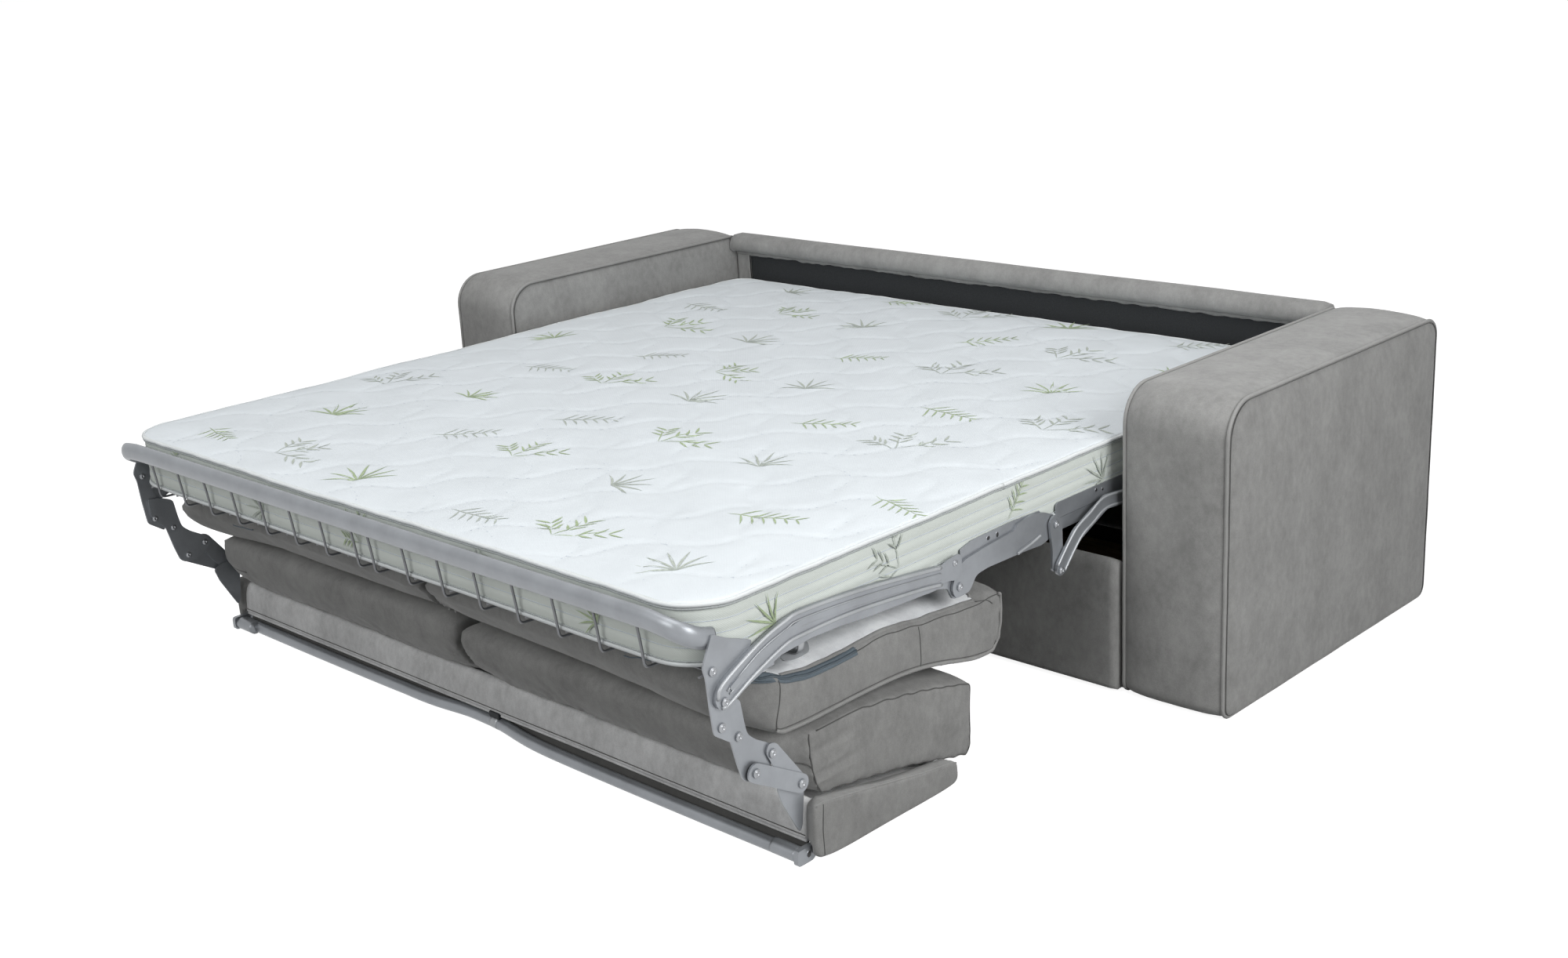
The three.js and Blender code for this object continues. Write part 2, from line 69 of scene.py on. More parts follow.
SIDES = (("left", -1), ("right", 1))


# ---- materials


def new_material(name, colour, roughness, metallic=0.0):
    material = bpy.data.materials.new(name)
    material.use_nodes = True
    shader = material.node_tree.nodes["Principled BSDF"]
    feed(shader, {"Base Color": (*colour, 1), "Roughness": roughness, "Metallic": metallic})
    return material, material.node_tree, shader


def feed(made, inputs):
    """Sets or links a node's inputs."""
    for key, value in inputs.items():
        if isinstance(value, bpy.types.NodeSocket):
            made.id_data.links.new(value, made.inputs[key])
        else:
            made.inputs[key].default_value = value


def node(tree, kind, inputs, **values):
    made = tree.nodes.new(kind)
    for key, value in values.items():
        setattr(made, key, value)
    feed(made, inputs)
    return made


def coordinates(tree, source="Object"):
    return node(tree, "ShaderNodeTexCoord", {}).outputs[source]


def noise_texture(tree, vector, scale, detail, roughness):
    inputs = {"Scale": scale, "Detail": detail, "Roughness": roughness, "Vector": vector}
    return node(tree, "ShaderNodeTexNoise", inputs).outputs["Fac"]


def ramp(tree, fac, stops):
    made = node(tree, "ShaderNodeValToRGB", {"Fac": fac})
    for element, (position, colour) in zip(made.color_ramp.elements, (stops[0], stops[-1])):
        element.position = position
        element.color = (*colour, 1)
    for position, colour in stops[1:-1]:
        made.color_ramp.elements.new(position).color = (*colour, 1)
    return made.outputs["Color"]


def tinted(tree, shader, fac, colour, stops):
    """Lets the base colour run through shares of one colour along fac."""
    colours = [(at, [min(1, c * share) for c in colour]) for at, share in stops]
    feed(shader, {"Base Color": ramp(tree, fac, colours)})


def stretched(tree, vector, scale):
    return node(tree, "ShaderNodeMapping", {"Scale": scale, "Vector": vector}).outputs["Vector"]


def math_node(tree, operation, a, b):
    return node(tree, "ShaderNodeMath", {0: a, 1: b}, operation=operation).outputs[0]


def map_range(tree, value, low, high):
    return node(tree, "ShaderNodeMapRange", {"To Min": low, "To Max": high, "Value": value}).outputs["Result"]


def bump(tree, height, strength, distance, under=None):
    made = node(tree, "ShaderNodeBump", {"Strength": strength, "Distance": distance, "Height": height})
    if under is not None:
        feed(made, {"Normal": under})
    return made.outputs["Normal"]


def microfibre(name, colour, contrast=0.2):
    """Brushed microfibre: soft clouds where the nap lies differently, over short strokes and a fine grain."""
    material, tree, shader = new_material(name, colour, 0.92)
    where = coordinates(tree)
    long = stretched(tree, where, (1, 1, 0.72))
    clouds = noise_texture(tree, long, 11, 5, 0.66)
    strokes = noise_texture(tree, long, 62, 4, 0.68)
    grain = noise_texture(tree, where, 560, 3, 0.78)
    mixed = math_node(tree, "ADD", math_node(tree, "MULTIPLY", clouds, 0.42),
                      math_node(tree, "MULTIPLY", strokes, 0.3))
    mixed = math_node(tree, "ADD", mixed, math_node(tree, "MULTIPLY", grain, 0.28))
    tinted(tree, shader, mixed, colour, [(0.39, 1 - contrast), (0.5, 1), (0.61, 1 + contrast)])
    fine = bump(tree, grain, 0.45, 0.0008)
    feed(shader, {"Normal": bump(tree, strokes, 0.14, 0.0018, fine), "Sheen Weight": 0.25, "Sheen Roughness": 0.5,
                  "Specular IOR Level": 0.25})
    return material


def painted(name, colour, roughness=0.36, metallic=0.55):
    """Silver-grey paint on steel: even, with a faint orange-peel and a little wear."""
    material, tree, shader = new_material(name, colour, roughness, metallic)
    where = coordinates(tree)
    cloud = noise_texture(tree, where, 14, 4, 0.6)
    tinted(tree, shader, cloud, colour, [(0.35, 0.9), (0.65, 1.07)])
    peel = noise_texture(tree, where, 260, 2, 0.5)
    feed(shader, {"Normal": bump(tree, peel, 0.08, 0.0004)})
    feed(shader, {"Roughness": map_range(tree, cloud, roughness - 0.06, roughness + 0.1)})
    return material


def ticking(name, colour, quilted):
    """Knitted mattress cover, with a fine knit and soft undulation."""
    material, tree, shader = new_material(name, colour, 0.8)
    where = coordinates(tree, "UV")
    cloud = noise_texture(tree, where, 7, 3, 0.5)
    tinted(tree, shader, cloud, colour, [(0.3, 0.95), (0.7, 1.025)])
    knit = node(tree, "ShaderNodeTexWave", {"Scale": 160, "Distortion": 1.5, "Vector": where}, wave_type="BANDS",
                bands_direction="DIAGONAL")
    fine = bump(tree, knit.outputs["Fac"], 0.25, 0.0005)
    soft = noise_texture(tree, where, 60 if quilted else 35, 3, 0.6)
    feed(shader, {"Normal": bump(tree, soft, 0.25, 0.002, fine), "Sheen Weight": 0.1, "Specular IOR Level": 0.25})
    return material


def plain(name, colour, roughness, grain=300, contrast=0.1):
    """One colour with a fine speckle, which also gives the surface its grain."""
    material, tree, shader = new_material(name, colour, roughness)
    speckle = noise_texture(tree, coordinates(tree), grain, 3, 0.6)
    tinted(tree, shader, speckle, colour, [(0.35, 1 - contrast), (0.65, 1 + contrast)])
    feed(shader, {"Normal": bump(tree, speckle, 0.2, 0.0006)})
    return material


def timber(name):
    """Sawn softwood whose grain runs along X."""
    material, tree, shader = new_material(name, (0.55, 0.4, 0.24), 0.7)
    grain = noise_texture(tree, stretched(tree, coordinates(tree), (1, 26, 26)), 4, 6, 0.7)
    stops = [(0.3, (0.42, 0.29, 0.16)), (0.7, (0.62, 0.47, 0.3))]
    feed(shader, {"Base Color": ramp(tree, grain, stops)})
    feed(shader, {"Normal": bump(tree, grain, 0.2, 0.001)})
    return material


UPHOLSTERY = microfibre("upholstery_microfibre", (0.262, 0.262, 0.256))
# The pipings' cloth is the cover's microfibre made a little lighter: painted highlight on the rounded pipings.
PIPING_LIT = microfibre("piping_microfibre_lit", (0.28, 0.28, 0.274), contrast=0.1)
# Near-black copy of the microfibre for thin lines of painted shade along seams, creases, welts and pipings.
SEAM_SHADE_LINE = microfibre("seam_shadow", (0.095, 0.095, 0.092), contrast=0.1)
UNDERSIDE = microfibre("cushion_underside", (0.86, 0.88, 0.9), contrast=0.13)
BAND = microfibre("panel_lining", (0.6, 0.605, 0.605), contrast=0.2)
LINING = plain("black_lining", (0.013, 0.015, 0.017), 0.85, grain=500, contrast=0.3)
TICKING_TOP = ticking("ticking_top", (0.7, 0.745, 0.775), True)
TICKING_SIDE = ticking("ticking_side", (0.68, 0.725, 0.685), False)
TICKING_EDGE = ticking("ticking_edge", (0.7, 0.73, 0.735), False)
# Grey for the grooves beside the mattress pipings: painted shade.
GROOVE_SHADE = plain("ticking_groove_shade", (0.42, 0.45, 0.45), 0.8, grain=300)
THREAD = plain("quilting_thread", (0.5, 0.55, 0.62), 0.7, grain=400)
SPRIG = plain("sprig_print", (0.36, 0.44, 0.27), 0.85, grain=160, contrast=0.16)
SPRIG_PALE = plain("sprig_print_grey", (0.43, 0.47, 0.42), 0.85, grain=160, contrast=0.14)
STEEL = painted("silver_paint", (0.275, 0.29, 0.31))
# Lighter copy of the silver paint: painted highlight on folded edges and ribs, the clip ring and the cushion tab.
STEEL_HIGHLIGHT = painted("silver_paint_highlight", (0.36, 0.375, 0.39), 0.38, 0.4)
# Lighter, non-metallic copy of the silver paint for the cushion tongue: painted light where the channel shades it.
TONGUE_LIGHTENED = painted("tongue_paint_lightened", (0.5, 0.52, 0.54), 0.5, 0.0)
RIVET = painted("rivet_zinc", (0.3, 0.31, 0.325), 0.3, 0.75)
WIRE = painted("wire_grey", (0.17, 0.175, 0.185), 0.4, 0.5)
ZIP = plain("zip_tape", (0.115, 0.145, 0.17), 0.75, grain=420)
ZIP_TEETH = plain("zip_coil", (0.055, 0.075, 0.09), 0.45, grain=600)
# Near-black for punched holes: painted shade in place of their depth.
HOLE_SHADE = plain("punched_hole_shade", (0.012, 0.012, 0.013), 0.6)
TIMBER = timber("base_timber")
PLASTIC = plain("glide_plastic", (0.02, 0.02, 0.02), 0.5)


# ---- mesh helpers


def shifted(points):
    points = np.asarray(points, float).copy()
    points[:, 1] += SHIFT
    return points


def mirrored(side, points):
    return np.asarray(points, float) * np.array([side, 1, 1])


def make_mesh(name, vertices, faces, materials, smooth=True, indices=None):
    mesh = bpy.data.meshes.new(name)
    mesh.from_pydata([tuple(v) for v in shifted(vertices)], [], [tuple(int(i) for i in f) for f in faces])
    mesh.validate()
    for material in materials if isinstance(materials, (list, tuple)) else [materials]:
        mesh.materials.append(material)
    if smooth:
        mesh.polygons.foreach_set("use_smooth", [True] * len(mesh.polygons))
    if indices is not None:
        mesh.polygons.foreach_set("material_index", [int(i) for i in indices])
    obj = bpy.data.objects.new(name, mesh)
    bpy.context.scene.collection.objects.link(obj)
    return obj


def join(name, parts):
    """Makes one object of several."""
    bpy.ops.object.select_all(action="DESELECT")
    for part in parts:
        part.select_set(True)
    bpy.context.view_layer.objects.active = parts[0]
    bpy.ops.object.join()
    parts[0].name = name
    return parts[0]


def face_outward(obj):
    tool = bmesh.new()
    tool.from_mesh(obj.data)
    bmesh.ops.recalc_face_normals(tool, faces=tool.faces)
    tool.to_mesh(obj.data)
    tool.free()
    return obj


def loft_faces(rows, count, closed=True, wrap=False):
    """Quads between consecutive rings of count points."""
    ring = np.arange(count if closed else count - 1)
    following = (ring + 1) % count
    faces = []
    for r in range(rows if wrap else rows - 1):
        a, b = r * count, ((r + 1) % rows) * count
        faces.append(np.stack([a + ring, a + following, b + following, b + ring], 1))
    return np.concatenate(faces)


def capped_loft(name, rings, material, smooth=True):
    """A closed skin over rings of equally many points, with a cap at either end."""
    count = len(rings[0])
    faces = [tuple(f) for f in loft_faces(len(rings), count)]
    faces.append(tuple(range(count)))
    faces.append(tuple(range((len(rings) - 1) * count, len(rings) * count))[::-1])
    return face_outward(make_mesh(name, np.concatenate(rings), faces, material, smooth))


def cloth_grid(name, points, rows, material, thickness):
    """An open grid of points in rows, given a thickness."""
    made = make_mesh(name, points, loft_faces(rows, len(points) // rows, closed=False), material)
    thick = made.modifiers.new("thickness", "SOLIDIFY")
    thick.thickness = thickness
    return made


def soft_edges(obj, width):
    bevel = obj.modifiers.new("edge", "BEVEL")
    bevel.width = width
    bevel.segments = 2
    bevel.limit_method = "ANGLE"
    bevel.angle_limit = math.radians(40)


def carried(obj, body, slot):
    """Lets a piece ride on a body; slot is not used."""
    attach(obj, body)
    return obj


def unit(vectors, least=0.0):
    return vectors / (np.linalg.norm(vectors, axis=1)[:, None] + least)


def circle(count):
    angle = np.linspace(0, 2 * math.pi, count, endpoint=False)
    return np.cos(angle), np.sin(angle)


def tube(name, path, radius, material, segments, closed=False):
    """A round tube along a list of points, with its ends closed."""
    path = np.asarray(path, float)
    along = np.roll(path, -1, 0) - np.roll(path, 1, 0) if closed else np.gradient(path, axis=0)
    along = unit(along, 1e-12)
    start = np.array([1.0, 0, 0]) if abs(along[0][0]) < 0.8 else np.array([0, 0, 1.0])
    wide = []
    current = start - along[0] * start.dot(along[0])
    for step in along:
        current = current - step * current.dot(step)
        current /= np.linalg.norm(current)
        wide.append(current.copy())
    wide = np.array(wide)
    high = np.cross(along, wide)
    cos, sin = circle(segments)
    rings = path[:, None, :] + radius * (
        cos[None, :, None] * wide[:, None, :] + sin[None, :, None] * high[:, None, :])
    if not closed:
        return capped_loft(name, rings, material)
    faces = loft_faces(len(path), segments, wrap=True)
    return face_outward(make_mesh(name, rings.reshape(-1, 3), faces, material))


def oval_tube(name, path, wide_half, high_half, material, segments=28):
    """A tube whose section is an upright oval."""
    path = np.asarray(path, float)
    along = unit(np.gradient(path, axis=0))
    wide = unit(np.cross(along, (0, 0, 1)))
    high = np.cross(wide, along)
    cos, sin = circle(segments)
    rings = path[:, None] + wide_half * cos[None, :, None] * wide[:, None] \
        + high_half * sin[None, :, None] * high[:, None]
    return capped_loft(name, rings, material)


def run_lengths(path):
    return np.concatenate([[0], np.cumsum(np.linalg.norm(np.diff(path, axis=0), axis=1))])


def spaced(path, count, endpoint=True):
    """Points at equal distances along a path."""
    length = run_lengths(path)
    at = np.linspace(0, length[-1], count, endpoint=endpoint)
    return np.stack([np.interp(at, length, path[:, k]) for k in range(path.shape[1])], 1)


def even_points(points, count):
    """A closed outline with count points at equal distances."""
    return spaced(np.array(list(points) + [points[0]], float), count, False)


def resample(path, step, closed=False):
    path = np.asarray(path, float)
    if closed:
        path = np.vstack([path, path[:1]])
    result = spaced(path, max(3, int(round(run_lengths(path)[-1] / step)) + 1))
    return result[:-1] if closed else result


def spline(points, count, closed=False):
    """Points on a smooth curve through the given ones."""
    points = np.asarray(points, float)
    n = len(points)
    result = []
    for i in range(n if closed else n - 1):
        if closed:
            p = [points[(i + k - 1) % n] for k in range(4)]
        else:
            p = [points[min(max(i + k - 1, 0), n - 1)] for k in range(4)]
        for t in np.linspace(0, 1, 12, endpoint=False):
            result.append(0.5 * (2 * p[1] + (p[2] - p[0]) * t + (2 * p[0] - 5 * p[1] + 4 * p[2] - p[3]) * t * t
                                 + (3 * p[1] - p[0] - 3 * p[2] + p[3]) * t ** 3))
    result.append(result[0] if closed else points[-1])
    return spaced(np.array(result), count, not closed)


def wave_noise(x, y, z, scale, seed):
    return noise.noise(Vector((x * scale + seed, y * scale - seed, z * scale + 0.37 * seed)))


# ---- arms


def arc(cy, cz, radius, start, steps):
    """A quarter circle in the side plane."""
    a = start + np.linspace(0, math.pi / 2, steps + 1)
    return np.stack([cy + radius * np.cos(a), cz + radius * np.sin(a)], 1)


def arm_corners(inset):
    """Rounded corners of the arm's side outline, drawn in by inset."""
    y0, y1, z0, z1 = inset, ARM_DEPTH - 0.001 - inset * 0.6, 0.0055 + inset * 0.08, ARM_TOP - inset
    front, rear, low = max(0.082 - inset, 0.012), max(0.05 - inset, 0.006), 0.022
    return [
        arc(y1 - rear, z1 - rear, rear, 0, 10),
        arc(y0 + front, z1 - front, front, math.pi / 2, 16),
        arc(y0 + low, z0 + low, low, math.pi, 4),
        arc(y1 - low, z0 + low, low, 1.5 * math.pi, 4),
    ]


def outline_points(inset, count):
    """The arm's side outline with a fixed number of points, starting at the same corner each time."""
    return even_points(np.concatenate(arm_corners(inset)), count)


# Stations of an arm from its inner face: distance across, and how far its outline is drawn in there.
ARM_PANEL = [(0.0004, 0.30), (0.0, 0.25), (0.0, 0.2), (0.0003, 0.15), (0.0009, 0.11), (0.0019, 0.08), (0.0034, 0.055),
             (0.0052, 0.038), (0.0075, 0.025), (0.0100, 0.0165), (0.0118, 0.0125), (0.0132, 0.0135), (0.0150, 0.0112),
             (0.0185, 0.0085), (0.025, 0.0058), (0.035, 0.0036)]


def arm_wrinkle(x, y, z, seed):
    """Slow give of stuffed cloth with a few faint drag lines, in metres."""
    drag = 0.0007 * wave_noise(x * 4, y * 1.3, z * 1.3, 9, seed + 5)
    return 0.0014 * wave_noise(x, y, z, 3.6, seed) + drag


def build_arm(word, side):
    """An upholstered arm with a piping round either face and the shadow lines along it."""
    count = 340
    middle = []
    for t in np.linspace(0.047, ARM_WIDTH - 0.047, 18):
        middle.append((t, 0.0036 - 0.0066 * math.sin(math.pi * (t - 0.035) / (ARM_WIDTH - 0.07)) ** 0.8))
    stations = ARM_PANEL + middle + [(ARM_WIDTH - t, inset) for t, inset in reversed(ARM_PANEL)]
    centre = np.array([0.43, 0.325])
    rings = []
    for across, inset in stations:
        yz = outline_points(max(inset, 0), count)
        x = HALF_BETWEEN_ARMS + across
        points = np.column_stack([np.full(count, side * x), yz])
        if inset < 0:
            points[:, 2] += np.where(yz[:, 1] > ARM_TOP - 0.06, -inset, 0)
            points[:, 1] += np.where(yz[:, 0] < 0.03, inset * 0.4, 0)
        for k in range(count):
            lift = arm_wrinkle(points[k, 0], points[k, 1], points[k, 2], 3.0 * side)
            if 0.03 < across < ARM_WIDTH - 0.03:
                away = points[k, 1:] - centre
                points[k, 1:] += away / np.linalg.norm(away) * max(-0.0012, min(lift, 0.0008))
            elif inset > 0.03:
                outward = 1 if across > ARM_WIDTH / 2 else -1
                points[k, 0] += side * outward * max(-0.0018, min(lift, 0.0003))
        rings.append(points)
    arm = carried(capped_loft(f"arm_cover_{word}", rings, UPHOLSTERY), "sofa", "upholstery")
    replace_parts(arm, f"arm_{word}")
    seam_in = 0.0122
    for place, across in (("inner", seam_in), ("outer", ARM_WIDTH - seam_in)):
        yz = outline_points(0.0093, 460)
        wander = np.array([0.0006 * wave_noise(across, p[0], p[1], 14, side) for p in yz])
        path = np.column_stack([side * (HALF_BETWEEN_ARMS + across + wander), yz])
        carried(tube(f"arm_piping_{place}_{word}", path, 0.0038, PIPING_LIT, 10, closed=True), "sofa", "upholstery")
        for gap in (-0.0044, 0.0044):
            crease = path.copy()
            crease[:, 0] += gap
            crease[:, 1:] = centre + (crease[:, 1:] - centre) * 0.9905
            stem = f"arm_crease_{place}_{word}_{'in' if gap < 0 else 'out'}"
            carried(tube(stem, crease, 0.001, SEAM_SHADE_LINE, 5, closed=True), "sofa", "upholstery")


for word, side in SIDES:
    build_arm(word, side)


# ---- rails


def build_bar(stem, outline, seed):
    """Upholstered rail: an outline in the side plane swept across, with a little give."""
    stations = np.arange(-RAIL_HALF, RAIL_HALF + 0.01, 0.02)
    ring = spline(outline, 90, closed=True)
    centre = ring.mean(0)
    away = unit(ring - centre)
    rows = []
    for i, x in enumerate(stations):
        points = centre + (ring - centre) * (0.985 if i in (0, len(stations) - 1) else 1.0)
        lift = np.array([wave_noise(x, p[0], p[1], 4.0, seed) for p in points]) * 0.0012
        rows.append(np.column_stack([np.full(len(ring), x), points + away * np.minimum(lift, 0.0006)[:, None]]))
    bar = carried(capped_loft(f"{stem}_cover", rows, UPHOLSTERY), "sofa", "upholstery")
    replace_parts(bar, stem)


build_bar("front_rail", [
    (0.0, 0.011), (0.0, 0.05), (-0.001, 0.12), (-0.001, 0.2), (0.0, 0.255), (0.004, 0.276), (0.0135, 0.286),
    (0.023, 0.276), (0.027, 0.255), (0.027, 0.15), (0.027, 0.05), (0.027, 0.011), (0.02, 0.008), (0.007, 0.008)], 1.0)
build_bar("back_rail", [
    (0.8595, 0.014), (0.86, 0.2), (0.86, 0.4), (0.86, 0.56), (0.86, 0.615), (0.857, 0.637), (0.846, 0.648),
    (0.83, 0.65), (0.815, 0.648), (0.804, 0.638), (0.8, 0.624), (0.8, 0.612), (0.804, 0.603), (0.815, 0.6),
    (0.828, 0.598), (0.835, 0.59), (0.836, 0.56), (0.836, 0.4), (0.836, 0.2), (0.836, 0.014), (0.848, 0.009)], 7.0)


def build_lining():
    """Black lining that hangs from the back's top roll."""
    xs = np.linspace(-0.877, 0.929, 240)
    zs = np.linspace(0.30, 0.598, 30)
    grid = []
    for z in zs:
        for x in xs:
            sag = 0.0012 * math.sin(x * 31) * (0.6 - z) + 0.0018 * wave_noise(x, z, 0, 7, 2)
            grid.append((x, 0.8312 + max(-0.0025, min(sag, 0.002)), z))
    sheet = carried(cloth_grid("back_lining_cloth", grid, len(zs), LINING, 0.0012), "sofa", "lining")
    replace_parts(sheet, "back_lining")


def build_well_shade_sheet():
    """Black sheet over the floor inside the base: painted shade for the dark well beneath the sofa."""
    xs = np.linspace(-0.9285, 0.9285, 120)
    ys = np.linspace(0.0285, 0.834, 60)
    grid = [(x, y, 0.0052 + 0.0012 * wave_noise(x, y, 0, 4, 6)) for y in ys for x in xs]
    cover = carried(cloth_grid("base_well_shade_sheet", grid, len(ys), LINING, 0.0009), "sofa", "lining")


def build_return():
    """Narrow strip of the cover's cloth beside the left arm, between the lining and the arm."""
    zs = np.linspace(0.30, 0.6, 24)
    xs = np.linspace(-0.9295, -0.882, 8)
    grid = [(x, 0.829 + 0.002 * math.sin((x + 0.93) * 66) + 0.0006 * math.sin(z * 40), z) for z in zs for x in xs]
    strip = carried(cloth_grid("back_return_cloth", grid, len(zs), UPHOLSTERY, 0.0016), "sofa", "upholstery")
    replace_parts(strip, "back_return")


def build_hem():
    """Turned edge of the top roll's cloth over the lining."""
    xs = np.linspace(-0.929, 0.929, 420)
    rows = []
    for k, (y, z) in enumerate([(0.8265, 0.604), (0.8255, 0.598), (0.8265, 0.592), (0.829, 0.588)]):
        ragged = np.array([0.0022 * wave_noise(x, k, 0, 38, 4) + 0.001 * wave_noise(x, 0, 0, 11, 9) for x in xs])
        rows.append(np.column_stack([xs, np.full(len(xs), y), z + ragged * (k / 2)]))
    hem = cloth_grid("back_roll_hem", np.concatenate(rows), 4, UPHOLSTERY, 0.001)
    carried(hem, "sofa", "upholstery")


build_lining()
build_well_shade_sheet()
build_return()
build_hem()


# ---- mattress


def corner_at(y):
    """Radius of the mattress corner that y lies in and how far y is into it, or None."""
    for radius, gap, outward in ((FRONT_CORNER, y - MATTRESS_FRONT, -1), (REAR_CORNER, MATTRESS_REAR - y, 1)):
        if gap < radius:
            return radius, radius - gap, outward
    return None


def plan_half(y):
    """Half width of the mattress's top at y, with its rounded corners."""
    corner, inset = corner_at(y), 0.0
    if corner:
        radius, depth, _ = corner
        inset = radius - math.sqrt(max(radius ** 2 - depth ** 2, 0))
    return MATTRESS_HALF - BORDER_ROOM - inset


def edge_rise(x, y):
    """Slow rise and fall of the mattress's edge."""
    return 0.0045 * wave_noise(x, y, 0, 2.3, 11) + 0.002 * wave_noise(x, y, 0, 6.5, 3)


def quilt_wander(x, y, sign):
    """Sideways wander of the quilting lines at a place."""
    return QUILT_SWING * math.sin((y - sign * 0.55 * x) * 2 * math.pi / QUILT_WAVE + sign)


def quilt_distance(x, y):
    """Distance to the nearest of two crossing families of wavy quilting lines, in metres."""
    best = 1.0
    for sign in (1, -1):
        wavy = x + sign * QUILT_SLANT * y + quilt_wander(x, y, sign)
        best = min(best, abs((wavy / QUILT_PITCH + 0.5) % 1 - 0.5) * QUILT_PITCH)
    return best


def top_height(x, y):
    """Height of the mattress's top: a low crown, quilted puffs and a wavy edge."""
    gap = max(min(plan_half(y) - abs(x), y - MATTRESS_FRONT, MATTRESS_REAR - y), 0)
    crown = 0.0035 * (1 - math.exp(-gap / 0.12))
    puff = 0.0032 * (1 - math.exp(-((quilt_distance(x, y) / 0.012) ** 1.3)))
    fade = 1 - math.exp(-gap / 0.02)
    small = 0.0009 * wave_noise(x, y, 0, 16, 21) + 0.0006 * wave_noise(x, y, 0, 34, 8)
    return MATTRESS_TOP - 0.0085 + crown + (puff + small) * fade + edge_rise(x, y) * math.exp(-gap / 0.25)


def border_bulge(t):
    """How far the mattress border stands out at share t of its height from the top edge."""
    pillow = 0.0015 * abs(math.sin(math.pi * min(max((t - 0.06) / 0.88, 0), 1) * 4)) ** 0.7
    return pillow + 0.001 * math.sin(math.pi * t)


def mattress_rows(y0, y1):
    """Places along Y of a length's rows of points, closer together round the corners."""
    ys = list(np.arange(y0, y1, 0.0085)) + [y1]
    if y0 == MATTRESS_FRONT:
        arc_rows = [MATTRESS_FRONT + FRONT_CORNER * (1 - math.cos(a)) for a in np.linspace(0, math.pi / 2, 22)]
        ys = arc_rows + [y for y in ys if y > arc_rows[-1] + 0.004]
    if y1 == MATTRESS_REAR:
        arc_rows = [MATTRESS_REAR - REAR_CORNER * (1 - math.cos(a)) for a in np.linspace(math.pi / 2, 0, 16)]
        ys = [y for y in ys if y < arc_rows[0] - 0.004] + arc_rows
    return ys


# Shares of the border's height at which it has points.
SIDE_STEPS = [0.0, 0.03, 0.06, 0.115, 0.17, 0.225, 0.28, 0.335, 0.39, 0.445, 0.5, 0.555, 0.61, 0.665, 0.72, 0.775,
              0.83, 0.885, 0.94, 0.97, 1.0]


def border_point(x, y, out_x, out_y, t):
    """A point on the border below the edge point x, y, whose outward direction is out_x, out_y."""
    top = top_height(x, y) - 0.004
    low = MATTRESS_BOTTOM + 0.006 + 0.5 * edge_rise(x + 5, y)
    offset = border_bulge(t) + 0.0012 * wave_noise(x * 3, y * 3, t * 0.6, 5, 17)
    return (x + out_x * offset, y + out_y * offset, top + (low - top) * t)


def edge_normal(y, sign):
    """Outward direction in plan at a side edge."""
    corner = corner_at(y)
    if not corner:
        return sign, 0.0
    radius, depth, outward = corner
    a = math.acos(min(1, depth / radius))
    return sign * math.sin(a), outward * math.cos(a)


def build_mattress(name, y0, y1):
    """One length of the mattress: a quilted top, pillowed borders and a flat underside."""
    columns = np.linspace(-1, 1, 211)
    rows = []
    for y in mattress_rows(y0, y1):
        half = plan_half(y)
        row = [(s * half, y, top_height(s * half, y)) for s in columns]
        row += [border_point(half, y, *edge_normal(y, 1), t) for t in SIDE_STEPS]
        row += [(s * half, y, MATTRESS_BOTTOM + 0.003 + 0.5 * edge_rise(s * half + 5, y) * abs(s) ** 6)
                for s in columns[::-6]]
        row += [border_point(-half, y, *edge_normal(y, -1), t) for t in SIDE_STEPS[::-1]]
        rows.append(row)
    count, top_count, side_count = len(rows[0]), len(columns), len(SIDE_STEPS)
    vertices = [p for row in rows for p in row]
    faces, indices = [], []
    for r in range(len(rows) - 1):
        for k in range(count):
            a, b = r * count + k, r * count + (k + 1) % count
            faces.append((a, b, b + count, a + count))
            below = top_count + side_count - 1 <= k < count - side_count
            indices.append(0 if k < top_count - 1 else 2 if below else 1)
    for r, y, outward in ((0, y0, -1), (len(rows) - 1, y1, 1)):
        base = r * count
        if y not in (MATTRESS_FRONT, MATTRESS_REAR):
            faces.append(tuple(len(vertices) + k for k in range(count)))
            vertices += rows[r]
            indices.append(2)
            continue
        half = plan_half(y)
        grid = [[base + i for i in range(top_count)]]
        for j, t in enumerate(SIDE_STEPS[1:], 1):
            line = [base + count - 1 - j]
            for s in columns[1:-1]:
                line.append(len(vertices))
                vertices.append(border_point(s * half, y, 0, outward, t))
            grid.append(line + [base + top_count + j])
        for upper, lower in zip(grid[:-1], grid[1:]):
            for i in range(top_count - 1):
                faces.append((upper[i], upper[i + 1], lower[i + 1], lower[i]))
                indices.append(1)
        last = base + top_count + side_count
        faces.append(tuple(grid[-1]) + tuple(range(last, last + len(columns[::-6]))))
        indices.append(2)
    piece = make_mesh(name, vertices, faces, [TICKING_TOP, TICKING_SIDE, TICKING_EDGE], indices=indices)
    face_outward(piece)
    add_uv(piece)
    return piece


def add_uv(piece):
    """UVs in metres from the rest shape, so that the cloth's texture stays put when the piece bends."""
    layer = piece.data.uv_layers.new(name="cloth")
    for polygon in piece.data.polygons:
        normal = polygon.normal
        first, second = (0, 1) if abs(normal.z) > 0.6 else (1, 2) if abs(normal.x) > abs(normal.y) else (0, 2)
        for index in polygon.loop_indices:
            co = piece.data.vertices[piece.data.loops[index].vertex_index].co
            layer.data[index].uv = (co[first], co[second])


